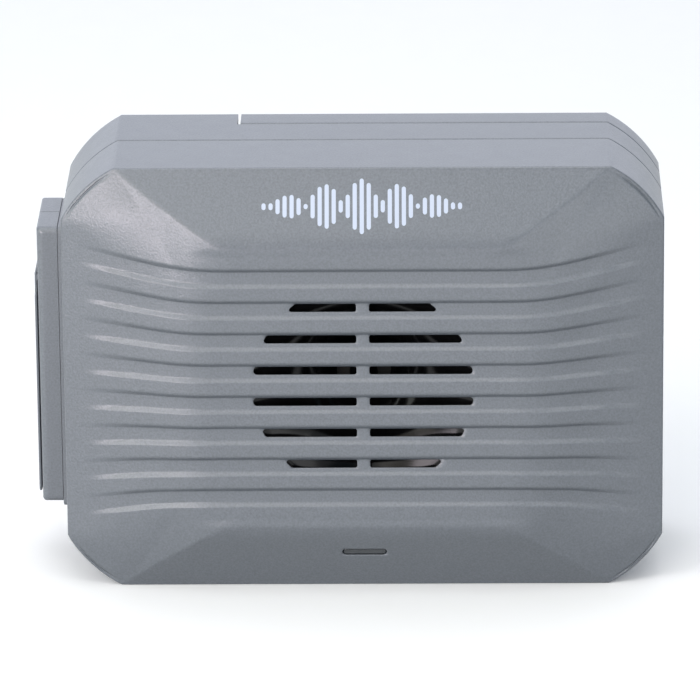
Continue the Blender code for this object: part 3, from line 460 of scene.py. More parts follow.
def turned(name, profile, centre, material, axis="Y", segments=64, close=False):
    """A turned solid. The profile is (radius, distance along the axis); a radius of 0 closes an end."""
    builder = bmesh.new()
    loops = []
    for radius, along in profile:
        count = segments if radius > 0 else 1
        loop = []
        for i in range(count):
            angle = 2 * math.pi * i / segments
            across, up = radius * math.cos(angle), radius * math.sin(angle)
            offset = {"X": (along, across, up), "Y": (across, along, up), "Z": (across, up, along)}[axis]
            loop.append(builder.verts.new(Vector(centre) + Vector(offset)))
        loops.append(loop)
    pairs = list(zip(loops, loops[1:]))
    if close:
        pairs.append((loops[-1], loops[0]))
    for a, b in pairs:
        for i in range(segments):
            j = (i + 1) % segments
            corners = [a[i % len(a)], a[j % len(a)], b[j % len(b)], b[i % len(b)]]
            builder.faces.new(list(dict.fromkeys(corners)))
    if not close:
        for end in (loops[0], loops[-1]):
            if len(end) > 1:
                builder.faces.new(end)
    return new_object(name, builder, material)


def bake_modifiers(obj):
    """Makes the mesh as its modifiers leave it the object's own."""
    bpy.context.view_layer.update()
    graph = bpy.context.evaluated_depsgraph_get()
    mesh = bpy.data.meshes.new_from_object(obj.evaluated_get(graph))
    obj.modifiers.clear()
    old = obj.data
    obj.data = mesh
    bpy.data.meshes.remove(old)


def combine(base, tools, operation="DIFFERENCE"):
    """Cuts tools out of base, or joins them to it, one by one, and removes them."""
    for tool in tools:
        modifier = base.modifiers.new(operation, "BOOLEAN")
        modifier.operation = operation
        modifier.solver = "EXACT"
        modifier.object = tool
        bake_modifiers(base)
        bpy.data.objects.remove(tool)
    return base


def merged(name, objects, material):
    """Several solids that don't touch each other, as one object."""
    builder = bmesh.new()
    for obj in objects:
        builder.from_mesh(obj.data)
        bpy.data.objects.remove(obj)
    return new_object(name, builder, material)


def rectangle(low_a, low_b, high_a, high_b):
    """The four corners of a rectangle, counter-clockwise from the lowest."""
    return [(low_a, low_b), (high_a, low_b), (high_a, high_b), (low_a, high_b)]


def centred(a, b, half_a, half_b):
    """The four corners of a rectangle around a point."""
    return rectangle(a - half_a, b - half_b, a + half_a, b + half_b)


# ---------------------------------------------------------------- the case's outline and crown


def corner_centre():
    """Centre of the upper right corner arc, (x, z) from the middle."""
    sagitta = CORNER_RADIUS - math.sqrt(CORNER_RADIUS**2 - CORNER_INSET**2 / 2)
    back = CORNER_INSET / 2 + (CORNER_RADIUS - sagitta) / math.sqrt(2)
    return HALF_WIDTH - back, HALF_HEIGHT - back


def smooth_least(a, b, blend):
    """The lesser of two heights, rounded over where they are within blend of each other."""
    share = max(blend - abs(a - b), 0.0) / blend
    return min(a, b) - share * share * blend / 4


def crown_height(x, z):
    """How far the plain crown stands proud of the front edge plane, from the middle of the case."""
    across, up = abs(x), abs(z)
    centre = corner_centre()
    from_side, from_top = HALF_WIDTH - across, HALF_HEIGHT - up
    from_arc = CORNER_RADIUS - math.hypot(max(across - centre[0], 0.0), max(up - centre[1], 0.0))
    from_chord = (from_side + from_top - CORNER_INSET) / math.sqrt(2)
    side = SIDE_BASE + SIDE_SLOPE * from_side
    corner = CORNER_BASE + CORNER_SLOPE * max(from_arc, from_chord)
    blend = CRISP_BLEND + (2 * CROWN_BLEND - CRISP_BLEND) * ease((SIDE_CRISP_FROM - across) / SIDE_CRISP_OVER)
    height = smooth_least(side, corner, blend)
    height = smooth_least(height, CROWN, CROWN_BLEND)
    blend = CRISP_BLEND + (CROWN_BLEND - CRISP_BLEND) * ease((CRISP_FROM - across) / CRISP_OVER)
    return smooth_least(height, TOP_BASE + TOP_SLOPE * from_top, blend)


def rim_groove(x, z):
    """Depth of the fine line that follows the corner arcs just inside the front's edge."""
    centre = corner_centre()
    past_x, past_z = abs(x) - centre[0], abs(z) - centre[1]
    if past_x <= 0 or past_z <= 0:
        return 0.0
    off = CORNER_RADIUS - EDGE_ROUND - math.hypot(past_x, past_z)
    share = (off - RIM_GROOVE_FROM) / RIM_GROOVE_WIDTH
    ends = min(HALF_WIDTH - abs(x), HALF_HEIGHT - abs(z)) / (6 * RIM_GROOVE_WIDTH)
    if not 0 < share < 1:
        return 0.0
    return RIM_GROOVE_DEPTH * ease(ends) * (0.5 - 0.5 * math.cos(2 * math.pi * share))


def ease(share):
    """A soft step from 0 to 1."""
    share = min(max(share, 0.0), 1.0)
    return share * share * (3 - 2 * share)


def slope(share):
    """A straight rise from 0 to 1 with short rounded ends."""
    share = min(max(share, 0.0), 1.0)
    end = min(share, 1 - share)
    rise = end * end / (2 * STEP_ROUND) if end < STEP_ROUND else end - STEP_ROUND / 2
    rise /= 1 - STEP_ROUND
    return rise if share < 0.5 else 1 - rise


def fan(x):
    """How much wider the ribs lie at x than in the middle; their slope eases in over FAN_OVER."""
    share = max(abs(x) - FAN_START, 0.0) / FAN_OVER
    curve = share**3 - share**4 / 2 if share < 1 else share - 0.5
    return 1.0 + FAN_RATE * FAN_OVER * curve


def groove_centres():
    """Heights of the grooves above the middle, from the top down."""
    return [((GROOVES - 1) / 2 - i) * RIB_PITCH for i in range(GROOVES)]


def groove_depth(x, z):
    """Depth of the grooves below the crown."""
    level = z / fan(x)
    fade = ease((FADE_END - abs(x)) / (FADE_END - FADE_START))
    deep = 0.0
    for centre in groove_centres():
        upper = ease((centre + GROOVE_HALF - level) / STEP_SHARP + 0.5)
        lower = slope((level - centre + GROOVE_HALF - STEP_RISE) / STEP_SOFT + 0.5)
        deep = max(deep, upper * lower)
    return GROOVE_DEPTH * fade * deep


def frame_depth(x, z):
    """How far the ribbed middle lies behind the creases above and below it."""
    rise = ease((abs(z) - FRAME_FROM) / FRAME_OVER)
    return FRAME_DEPTH * (1 - rise) * ease((FRAME_END - abs(x)) / FRAME_FADE)


def slot_outlines(inset=0.0):
    """Each slot's outline from the middle of the case, (x, z), its outer end on the circle."""
    outlines = []
    for row in range(SLOT_ROWS):
        middle = (row - (SLOT_ROWS - 1) / 2) * RIB_PITCH + SLOT_RISE
        low, high = middle - SLOT_HALF + inset, middle + SLOT_HALF - inset
        reach = [math.sqrt(SLOT_CIRCLE**2 - edge**2) - inset for edge in (low, high)]
        for side in (-1, 1):
            near = BRIDGE_HALF + inset
            corners = [(near, low), (reach[0], low), (reach[1], high), (near, high)]
            outlines.append([(side * x, z) for x, z in corners])
    return outlines


def rounded_polygon(corners, radius, steps=4):
    """A polygon with each corner replaced by an arc, of one radius or of one for each corner."""
    points = []
    count = len(corners)
    radii = radius if isinstance(radius, (list, tuple)) else [radius] * count
    for i, radius in enumerate(radii):
        before, here, after = (Vector(corners[(i + k) % count]) for k in (-1, 0, 1))
        to_before, to_after = (before - here).normalized(), (after - here).normalized()
        half = to_before.angle(to_after) / 2
        reach = min(radius / math.tan(half), (before - here).length * 0.48, (after - here).length * 0.48)
        centre = here + (to_before + to_after).normalized() * (reach / math.cos(half))
        start, end = here + to_before * reach - centre, here + to_after * reach - centre
        turn = start.angle_signed(end)
        for k in range(steps + 1):
            points.append(centre + Matrix.Rotation(-turn * k / steps, 2) @ start)
    return points


def window_outline():
    """The status window's outline, (x, z) from the middle of the case."""
    return centred(0.0, WINDOW_Z - HALF_HEIGHT, WINDOW_HALF_LENGTH, WINDOW_HALF_HEIGHT)


def distance_outside(point, outline):
    """Distance from a point to a convex outline, 0 inside it."""
    best = 1.0
    area = sum(a[0] * b[1] - b[0] * a[1] for a, b in zip(outline, outline[1:] + outline[:1]))
    inside = True
    for a, b in zip(outline, outline[1:] + outline[:1]):
        ax, az = point[0] - a[0], point[1] - a[1]
        bx, bz = b[0] - a[0], b[1] - a[1]
        if (bx * az - bz * ax) * area < 0:
            inside = False
        share = min(max((ax * bx + az * bz) / (bx * bx + bz * bz), 0.0), 1.0)
        best = min(best, math.hypot(ax - share * bx, az - share * bz))
    return 0.0 if inside else best


def rim_drop(x, z, outlines):
    """How far the rounded rim of an opening falls below the surface at a point."""
    drop = 0.0
    for outline in outlines:
        if min(abs(x - p[0]) for p in outline) > 0.03 or abs(z - outline[0][1]) > 0.006:
            continue
        off = distance_outside((x, z), outline)
        if off < RIM_ROUND:
            drop = max(drop, RIM_ROUND - math.sqrt(max(RIM_ROUND**2 - (RIM_ROUND - off) ** 2, 0.0)))
    return drop


def top_edge(x, inset):
    """Height of the outline above the middle at x, for an outline set in by inset."""
    centre = corner_centre()
    past = abs(x) - centre[0]
    radius = CORNER_RADIUS - inset
    arc = centre[1] + math.sqrt(max(radius**2 - max(past, 0.0) ** 2, 0.0))
    return min(HALF_HEIGHT - inset, arc)


def front_columns():
    """Columns of the front mesh, closer together over the slots, and following the corner arcs."""
    centre = corner_centre()
    radius = CORNER_RADIUS - EDGE_ROUND
    half = HALF_WIDTH - EDGE_ROUND
    start = math.asin((HALF_HEIGHT - EDGE_ROUND - centre[1]) / radius)
    end = math.acos((half - centre[0]) / radius)
    arc_start = centre[0] + radius * math.cos(start)
    slots = [0.0003 + i * 0.0005 for i in range(57)]
    middle = [slots[-1] + (arc_start - slots[-1]) * (i + 1) / 84 for i in range(83)]
    arc = [centre[0] + radius * math.cos(start + (end - start) * i / 32) for i in range(33)]
    arc[-1] = half
    right = slots + middle + arc
    return [-x for x in reversed(right)] + right


def front_rows():
    """Rows over the ribs, in fanned levels from the middle: close together on flanks and slot rims."""
    levels = []
    for centre in groove_centres():
        upper, lower = centre + GROOVE_HALF, centre - GROOVE_HALF
        levels += [upper + STEP_SHARP * k for k in (-0.5, -0.25, 0.0, 0.25, 0.5)]
        flank = (-0.5, -0.42, -0.33, -0.12, 0.12, 0.33, 0.42, 0.5)
        levels += [lower + STEP_RISE + STEP_SOFT * k for k in flank]
        for side in (-1, 1):
            edge = centre + SLOT_RISE + side * SLOT_HALF
            levels += [edge + side * k for k in (0.00004, 0.00013, 0.00024, 0.00036)]
        levels += [centre + SLOT_RISE, upper + 0.0010, upper + 0.0020]
    return sorted(levels)


def front_surface(builder):
    """The ribbed front as a grid of vertices, and its border in order."""
    columns, levels = front_columns(), front_rows()
    outlines = slot_outlines() + [window_outline()]
    outer = [i / 56 for i in range(1, 55)] + [1 - k / 1000 for k in (28, 23, 18.5, 15, 12, 9, 6, 3, 0)]
    reach = HALF_HEIGHT - EDGE_ROUND + levels[0]
    lower = outer + [
        (levels[0] - WINDOW_Z + HALF_HEIGHT - side * (WINDOW_HALF_HEIGHT + k)) / reach
        for side in (-1, 1) for k in (0.00004, 0.00014, 0.00026, 0.00038)
    ]
    lower.sort(reverse=True)
    grid = []
    for x in columns:
        edge = top_edge(x, EDGE_ROUND)
        stretch = fan(x)
        zs = [level * stretch for level in levels]
        low, high = zs[0], zs[-1]
        zs = [low + (-edge - low) * share for share in lower] + zs
        zs += [high + (edge - high) * share for share in outer]
        line = []
        for z in zs:
            y = FRONT_EDGE_Y - crown_height(x, z) + groove_depth(x, z) + frame_depth(x, z)
            y += rim_drop(x, z, outlines) + rim_groove(x, z)
            line.append(builder.verts.new((MIDDLE.x + x, y, MIDDLE.z + z)))
        grid.append(line)
    for a, b in zip(grid, grid[1:]):
        for i in range(len(a) - 1):
            builder.faces.new((a[i], b[i], b[i + 1], a[i + 1]))
    border = [line[0] for line in grid]
    border += grid[-1][1:]
    border += [line[-1] for line in reversed(grid[:-1])]
    border += list(reversed(grid[0][1:-1]))
    return border


def outward(point):
    """Direction square to the case's outline at a point near it, (x, z) from the middle."""
    centre = corner_centre()
    x, z = point
    past_x, past_z = abs(x) - centre[0], abs(z) - centre[1]
    reach = CORNER_RADIUS - EDGE_ROUND
    start = (HALF_HEIGHT - EDGE_ROUND - centre[1]) / reach
    end = (HALF_WIDTH - EDGE_ROUND - centre[0]) / reach
    length = math.hypot(past_x, past_z)
    on_arc = past_x > 0 and past_z > 0 and past_z / length < start - 1e-4 and past_x / length < end - 1e-4
    if on_arc:
        direction = Vector((past_x, past_z)) / length
    elif abs(abs(z) - (HALF_HEIGHT - EDGE_ROUND)) < 1e-6:
        direction = Vector((0, 1))
    else:
        direction = Vector((1, 0))
    sign_x, sign_z = (math.copysign(1.0, value) for value in (x, z))
    return Vector((direction.x * sign_x, direction.y * sign_z))


def case_outline(inset=0.0, low_x=None):
    """The case's outline, (x, z) from the middle, set in by inset and cut off at low_x."""
    half_w, half_h = HALF_WIDTH - inset, HALF_HEIGHT - inset
    radius = CORNER_RADIUS - inset
    centre = corner_centre()
    start = math.asin((half_h - centre[1]) / radius)
    end = math.acos((half_w - centre[0]) / radius)
    arc = []
    for i in range(OUTLINE_STEPS + 1):
        angle = start + (end - start) * i / OUTLINE_STEPS
        arc.append((centre[0] + radius * math.cos(angle), centre[1] + radius * math.sin(angle)))
    right_low = [(x, -z) for x, z in reversed(arc)]
    left_low = [(-x, -z) for x, z in arc]
    left_high = [(-x, z) for x, z in reversed(arc)]
    if low_x is not None:
        return [(low_x, half_h)] + arc + right_low + [(low_x, -half_h)]
    return arc + right_low + left_low + left_high


def at_depth(outline, y):
    """Points of an outline about the middle of the case, at a depth."""
    return [Vector((MIDDLE.x + x, y, MIDDLE.z + z)) for x, z in outline]


def plain_crown(name, inset, depth, back_y, material):
    """A solid behind the plain crown, moved back by depth, inside the outline set in by inset."""
    half_w, half_h = HALF_WIDTH + 0.002, HALF_HEIGHT + 0.002
    columns = [half_w * (i / 20 - 1) for i in range(41)]
    rows = [half_h * (i / 16 - 1) for i in range(33)]
    builder = bmesh.new()
    front = [[builder.verts.new((MIDDLE.x + x, FRONT_EDGE_Y - crown_height(x, z) + depth, MIDDLE.z + z))
              for z in rows] for x in columns]
    for a, b in zip(front, front[1:]):
        for i in range(len(a) - 1):
            builder.faces.new((a[i], b[i], b[i + 1], a[i + 1]))
    border = [line[0] for line in front] + front[-1][1:]
    border += [line[-1] for line in reversed(front[:-1])] + list(reversed(front[0][1:-1]))
    back = [builder.verts.new((v.co.x, back_y, v.co.z)) for v in border]
    for i in range(len(border)):
        j = (i + 1) % len(border)
        builder.faces.new((border[i], border[j], back[j], back[i]))
    builder.faces.new(back)
    made = new_object(name, builder, material)
    bounds = loft("bounds", [at_depth(case_outline(inset), y) for y in (-0.06, 0.06)], material)
    return combine(made, [bounds], "INTERSECT")


# ---------------------------------------------------------------- the case


def front_cover(looks):
    """The crowned, ribbed front cover, with its slots, its window, its posts and its walls."""
    builder = bmesh.new()
    border = front_surface(builder)
    loops = [border]
    for step in range(1, 5):
        angle = math.pi / 2 * step / 4
        out, back = EDGE_ROUND * math.sin(angle), EDGE_ROUND * (1 - math.cos(angle))
        loops.append(border_ring(builder, border, out, back))
    rim_y = SEAM_Y - GAP / 2
    for out, y in ((EDGE_ROUND, rim_y - SEAM_CHAMFER), (EDGE_ROUND - SEAM_CHAMFER, rim_y)):
        ring = []
        for vertex in border:
            shift = outward((vertex.co.x - MIDDLE.x, vertex.co.z - MIDDLE.z)) * out
            ring.append(builder.verts.new((vertex.co.x + shift.x, y, vertex.co.z + shift.y)))
        loops.append(ring)
    bridge(builder, loops)
    builder.faces.new(loops[-1])
    cover = new_object("front_shell", builder, looks["grey"], angle=50)
    tools = [plain_crown("hollow", WALL, WALL, SEAM_Y + 0.01, looks["grey"])]
    lip_y = COVER_LOW.y + GROOVE_DEPTH + FRAME_DEPTH + SLOT_LIP
    depths = ((-0.05, 0.0), (lip_y, 0.0), (lip_y + SLOT_RELIEF, SLOT_RELIEF), (-0.02, SLOT_RELIEF))
    openings = []
    for narrow, wide in zip(slot_outlines(), slot_outlines(-SLOT_RELIEF)):
        rings = [at_depth(rounded_polygon(wide if grow else narrow, SLOT_ROUND), y) for y, grow in depths]
        openings.append(loft("slot", rings, looks["grey"]))
    openings.append(loft("window", [[Vector((MIDDLE.x + p.x, y, MIDDLE.z + p.y))
                                     for p in rounded_polygon(window_outline(), WINDOW_HALF_HEIGHT * 0.98, 6)]
                                    for y in (-0.05, -0.012)], looks["grey"]))
    tools.append(merged("openings", openings, looks["grey"]))
    combine(cover, tools)
    posts, holes = cover_posts(looks["grey"])
    combine(cover, [posts], "UNION")
    combine(cover, [holes, control_window(looks["grey"])])
    smooth(cover, 50)
    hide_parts("front_cover")
    finish_piece(cover, "case")


def cover_posts(material):
    """The posts inside the front cover for the case's, the board's and the horn's screws, and their holes."""
    flange_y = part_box("speaker_horn")[0].y + HORN_FLANGE
    places = [(centre_of(f"case_screw_{n}"), 0.0040, 0.00145, SEAM_Y - GAP / 2, 0.015) for n in range(1, 5)]
    board = centre_of("board_screw_1")
    for sx in (-1, 1):
        for sz in (-1, 1):
            across, up = abs(board.x - MIDDLE.x) * sx, abs(board.z - MIDDLE.z) * sz
            board_post = MIDDLE + Vector((across, 0, up))
            places.append((board_post, 0.0030, 0.0013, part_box("main_board")[0].y - GAP, 0.0097))
            horn_post = MIDDLE + Vector((sx * HORN_POST, 0, sz * HORN_POST))
            places.append((horn_post, 0.0030, 0.0012, flange_y - GAP, 0.0035))
    posts, holes = [], []
    for place, radius, hole, high_y, depth in places:
        centre = (place.x, 0, place.z)
        post = turned("post", [(radius, COVER_LOW.y), (radius, high_y)], centre, material, segments=32)
        for vertex in post.data.vertices:
            if vertex.co.y < COVER_LOW.y + WALL:
                height = crown_height(vertex.co.x - MIDDLE.x, vertex.co.z - MIDDLE.z)
                vertex.co.y = FRONT_EDGE_Y - height + POST_FRONT
        posts.append(post)
        profile = [(hole, high_y - depth), (hole, high_y + 0.001)]
        holes.append(turned("hole", profile, centre, material, segments=24))
    return merged("posts", posts, material), merged("holes", holes, material)


def border_ring(builder, border, out, back):
    """The border of the front moved outwards and backwards."""
    ring = []
    for vertex in border:
        shift = outward((vertex.co.x - MIDDLE.x, vertex.co.z - MIDDLE.z)) * out
        ring.append(builder.verts.new((vertex.co.x + shift.x, vertex.co.y + back, vertex.co.z + shift.y)))
    return ring


def finish_piece(obj, body):
    """Puts a piece on its body."""
    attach(obj, body)


def rounded_prism(name, outline, ends, rims, material, axis="Y", steps=3):
    """A prism along an axis with rounded rims. outline(inset) gives its section, ends and rims are pairs."""
    rings = []
    for end, rim, inward in ((ends[0], rims[0], 1), (ends[1], rims[1], -1)):
        part = []
        for i in range(steps + 1):
            angle = math.pi / 2 * i / steps
            inset, depth = rim * (1 - math.sin(angle)), rim * (1 - math.cos(angle))
            part.append(section(outline(inset), end + inward * depth, axis))
        rings += part if inward > 0 else part[::-1]
    return loft(name, rings, material)


def section(outline, along, axis):
    """Points of a section: (x, z) along Y, (y, z) along X."""
    if axis == "Y":
        return [Vector((p[0], along, p[1])) for p in outline]
    return [Vector((along, p[0], p[1])) for p in outline]


def placed(outline):
    """An outline about the middle of the case, moved to its place."""
    return [(MIDDLE.x + x, MIDDLE.z + z) for x, z in outline]


def drilled(x, z, radius, floor_y, surface_y, material, chamfer=CHAMFER):
    """Cutter for a round hole from a surface towards -Y, with a small chamfer at its mouth."""
    profile = [
        (0.0, floor_y),
        (radius, floor_y),
        (radius, surface_y - chamfer),
        (radius + chamfer, surface_y),
        (radius + chamfer, surface_y + 0.002),
        (0.0, surface_y + 0.002),
    ]
    return turned("drill", profile, (x, 0, z), material, segments=48)


def keyhole(box_m, material):
    """Cutter for a keyhole: a round entry with a narrower slot above it, chamfered at the back face."""
    x = (box_m[0][0] + box_m[1][0]) / 2
    z = (box_m[0][2] + box_m[1][2]) / 2

    def outline(grow):
        entry, slot = KEYHOLE_ENTRY + grow, KEYHOLE_SLOT + grow
        start = math.acos(slot / entry)
        points = []
        for i in range(33):
            angle = math.pi - start + (math.pi + 2 * start) * i / 32
            points.append((x + entry * math.cos(angle), z + entry * math.sin(angle)))
        for i in range(13):
            angle = math.pi * i / 12
            points.append((x + slot * math.cos(angle), z + KEYHOLE_DROP + slot * math.sin(angle)))
        return points

    depths = ((BACK_Y - WALL - 0.001, 0.0), (BACK_Y - CHAMFER, 0.0))
    depths += ((BACK_Y, CHAMFER), (BACK_Y + 0.002, CHAMFER))
    return loft("keyhole", [section(outline(grow), y, "Y") for y, grow in depths], material)


def centre_of(node):
    low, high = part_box(node)
    return (low + high) / 2


def opening(name):
    """The box of an opening that the record states."""
    return next(o["box_m"] for o in frame["record"]["physics"]["openings"] if o["name"] == name)


def rear_shell(looks):
    """The rear housing: the case's second ring, with the battery bay and a fixed block beside the cover."""
    grey = looks["grey"]
    cover_edge, cover_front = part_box("battery_cover")[0].x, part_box("battery_cover")[0].y
    step_y = cover_front - GAP
    block_edge = cover_edge - SPLIT_WIDTH
    front_y = SEAM_Y + GAP / 2

    def outline(inset):
        return placed(case_outline(inset))

    def plug(name, inset, ends):
        return loft(name, [section(outline(inset), y, "Y") for y in ends], grey)

    shell = rounded_prism("rear_shell", outline, (front_y, BACK_Y), (SEAM_CHAMFER, RIM), grey)
    combine(shell, [plug("lip", WALL + GAP, (front_y - LIP_REACH, front_y + 0.001))], "UNION")
    beyond = (0.09, 0.04, 0.12)
    room = block("room", (block_edge, step_y, -0.01), beyond, grey)
    hollow = plug("hollow", WALL, (front_y + 0.004, BACK_Y - WALL))
    combine(hollow, [block("wall", (block_edge - WALL, step_y - WALL, -0.01), beyond, grey)])
    combine(hollow, [plug("mouth", WALL + 0.0013, (-0.01, front_y + 0.006))], "UNION")
    combine(shell, [room, hollow])
    for number in range(1, 5):
        place = centre_of(f"case_screw_{number}")
        back = BACK_Y if place.x < block_edge else step_y
        column = turned("column", [(0.0045, front_y), (0.0045, back - 0.0001)], (place.x, 0, place.z), grey)
        combine(shell, [column], "UNION")
        head_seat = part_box(f"case_screw_{number}")[1].y - SCREW_HEAD
        combine(shell, [drilled(place.x, place.z, 0.0032, head_seat, back, grey)])
        combine(shell, [drilled(place.x, place.z, 0.0017, 0.0, head_seat + 0.001, grey, chamfer=0.0)])
    for number in (1, 2):
        place = centre_of(f"cover_screw_{number}")
        boss = turned("boss", [(0.0035, 0.012), (0.0035, step_y - 0.0005)], (place.x, 0, place.z), grey)
        combine(shell, [boss], "UNION")
        combine(shell, [drilled(place.x, place.z, 0.0016, 0.0132, step_y, grey)])
    tray_low, tray_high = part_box("battery_tray")
    body = FLANGE - GAP
    bay_low = (tray_low.x + body, 0.014, tray_low.z + body)
    bay = block("bay", bay_low, (tray_high.x - body, 0.025, tray_high.z - body), grey)
    combine(shell, [bay, keyhole(opening("left_keyhole"), grey), control_window(grey)])
    smooth(shell)
    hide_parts("rear_housing")
    finish_piece(shell, "case")


def control_window(material):
    """Cutter for the opening in the left wall of both shells, behind the control plate."""
    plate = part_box("control_plate")[1].x
    return block("window", (plate - 0.003, -0.0045, 0.024), (plate + 0.006, 0.0118, 0.072), material)


def smooth(obj, angle=40):
    """Smooth shading with sharp creases; corner normals follow the larger faces, so flat faces stay flat."""
    obj.data.shade_smooth()
    obj.data.set_sharp_from_angle(angle=math.radians(angle))
    modifier = obj.modifiers.new("weighted", "WEIGHTED_NORMAL")
    modifier.keep_sharp = True
    bake_modifiers(obj)


def cover_shell(looks):
    """The battery cover, with its screw columns, its keyhole and four grooves to lift it by."""
    grey = looks["grey"]
    low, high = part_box("battery_cover")
    edge = low.x - MIDDLE.x

    def outline(inset):
        return placed(case_outline(inset, low_x=edge + inset))

    shell = rounded_prism("cover_shell", outline, (low.y + SEAM_CHAMFER, high.y), (0.0006, RIM), grey)
    inside = [section(placed(case_outline(WALL, low_x=edge + WALL)), y, "Y") for y in (0.0, BACK_Y - WALL)]
    combine(shell, [loft("inside", inside, grey)])
    for number in (1, 2):
        place = centre_of(f"cover_screw_{number}")
        column = turned("column", [(0.0045, low.y), (0.0045, BACK_Y - 0.0001)], (place.x, 0, place.z), grey)
        combine(shell, [column], "UNION")
        head_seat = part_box(f"cover_screw_{number}")[1].y - COVER_SCREW_HEAD - GAP
        combine(shell, [drilled(place.x, place.z, 0.0033, head_seat, BACK_Y, grey)])
        combine(shell, [drilled(place.x, place.z, 0.0018, 0.0, head_seat + 0.001, grey, chamfer=0.0)])
    combine(shell, [keyhole(opening("right_keyhole"), grey)])
    combine(shell, [finger_groove(x, grey) for x in (low.x + 0.007 + 0.0022 * i for i in range(4))])
    smooth(shell)
    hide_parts("battery_cover")
    finish_piece(shell, "battery_cover")


def finger_groove(x, material):
    """Cutter for one shallow upright groove beside the cover's split, to lift it by."""
    half_x, half_z = 0.0006, 0.012
    rings = []
    for grow, y in ((0.0002, -0.0006), (0.0, -0.0003), (0.0003, 0.0), (0.0003, 0.001)):
        grown = centred(x, MIDDLE.z, half_x + grow, half_z + grow)
        rings.append(section(rounded_polygon(grown, 0.0005), BACK_Y + y, "Y"))
    return loft("groove", rings, material)


# ---------------------------------------------------------------- the control box


def control_box(looks):
    """The two halves of the box on the left wall, and the plate behind them."""
    grey = looks["grey"]
    for name, front in (("front", True), ("rear", False)):
        low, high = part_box(f"control_box_{name}")

        def outline(inset):
            corners = rectangle(low.x + inset, low.z + inset, high.x + 0.00012, high.z - inset)
            return rounded_polygon(corners, [0.0010, 0.0001, 0.0001, 0.0006], 6)

        rims = (0.0016, 0.0002) if front else (0.0002, 0.0012)
        half = rounded_prism(f"side_box_{name}", outline, (low.y, high.y), rims, grey, steps=5)
        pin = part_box("hinge_pin")
        pin_at = centre_of("hinge_pin")
        bore = [(0.0009, pin[0].y - GAP), (0.0009, pin[1].y + GAP)]
        pin_hole = turned("pin_hole", bore, (pin_at.x, 0, pin_at.z), grey, segments=24)
        combine(half, [recess_cutter(low.x, grey), pin_hole])
        smooth(half)
        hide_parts(f"control_box_{name}")
        finish_piece(half, "case")
    plate_shell(looks)


def recess_cutter(face_x, material):
    """Cutter for the recess that the controls stand in, with rounded corners and a chamfered mouth."""
    side, top = opening("control_recess_side"), opening("control_recess_top")
    low_y, high_y = top[0][1] - 0.0002, top[1][1] + 0.0002
    low_z, high_z = side[0][2] - 0.0003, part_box("hinge_pin")[1].z + 0.0029
    rings = []
    for grow, x in ((0.0004, face_x - 0.002), (0.0004, face_x), (0.0, face_x + 0.0004), (0.0, -0.060)):
        corners = rectangle(low_y - grow, low_z - grow, high_y + grow, high_z + grow)
        rings.append(section(rounded_polygon(corners, 0.0012), x, "X"))
    return loft("recess", rings, material)


def plate_shell(looks):
    """The plate behind the control box, with an opening for each control."""
    grey = looks["grey"]
    low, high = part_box("control_plate")

    def outline(inset):
        corners = rectangle(low.y + inset, low.z + inset, high.y - inset, high.z - inset)
        return rounded_polygon(corners, 0.0015)

    plate = rounded_prism("side_plate", outline, (low.x, high.x + 0.0001), (0.0002, 0.0001), grey, axis="X")
    cutters = []
    for node, radius in (("selector_knob", 0.0019), ("test_button", 0.0028), ("power_jack", 0.0043)):
        place = centre_of(node)
        bore = [(radius, -0.08), (radius, -0.06)]
        cutters.append(turned("hole", bore, (0, place.y, place.z), grey, axis="X", segments=40))
    slider_low, slider_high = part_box("power_slider")
    travel = next(j["range_m"][1] for j in frame["joints"] if j["name"] == "power_slide")
    spare = 0.0006
    corners_low = (-0.08, slider_low.y - spare, slider_low.z - spare)
    corners_high = (-0.06, slider_high.y + spare, slider_high.z + travel + spare)
    cutters.append(block("slot", corners_low, corners_high, grey))
    combine(plate, cutters)
    smooth(plate)
    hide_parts("control_plate")
    finish_piece(plate, "case")


def flap(looks):
    """The thin flap over the controls, with its hinge barrel and a ridge to lift it by."""
    grey = looks["grey_smooth"]
    low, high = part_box("control_flap")
    pin = centre_of("hinge_pin")
    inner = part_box("control_box_front")[0].x - GAP
    outer = inner - FLAP_THICKNESS
    room = opening("control_recess_top")
    barrel_low, barrel_high = room[0][1] + 0.0002, room[1][1] - 0.0002
    neck = pin.z - 0.004
    top = pin.z + 0.001
    rings = []
    faces = ((FLAP_ROUND, inner), (0.0, inner - FLAP_ROUND), (0.0, outer + FLAP_ROUND), (FLAP_ROUND, outer))
    for inset, x in faces:
        corners = [(low.y + inset, low.z + inset), (high.y - inset, low.z + inset)]
        corners += [(high.y - inset, neck - inset), (barrel_high - inset, neck - inset)]
        corners += [(barrel_high - inset, top - inset), (barrel_low + inset, top - inset)]
        corners += [(barrel_low + inset, neck - inset), (low.y + inset, neck - inset)]
        points = rounded_polygon(corners, [0.0016, 0.0016, 0.0010, 0.0002, 0.0004, 0.0004, 0.0002, 0.0010])
        rings.append(section(points, x, "X"))
    made = loft("side_flap", rings, grey)
    web_low = (inner - FLAP_THICKNESS / 2, barrel_low, pin.z - 0.0008)
    web = block("web", web_low, (pin.x, barrel_high, pin.z + 0.0005), grey)
    profile = [(BARREL_RADIUS, barrel_low + 0.0001), (BARREL_RADIUS, barrel_high - 0.0001)]
    barrel = turned("barrel", profile, (pin.x, 0, pin.z), grey, segments=40)
    combine(made, [web, barrel], "UNION")
    ridge_z = low.z + 0.0022
    ridge_low = (low.x + 0.00002, low.y + 0.004, ridge_z - 0.0005)
    ridge = block("ridge", ridge_low, (inner - 0.0003, high.y - 0.004, ridge_z + 0.0005), grey, 0.0002)
    combine(made, [ridge], "UNION")
    profile = [(BARREL_BORE, -0.02), (BARREL_BORE, 0.03)]
    bore = turned("bore", profile, (pin.x, 0, pin.z), grey, segments=24)
    combine(made, [bore])
    smooth(made)
    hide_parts("control_flap")
    finish_piece(made, "control_flap")


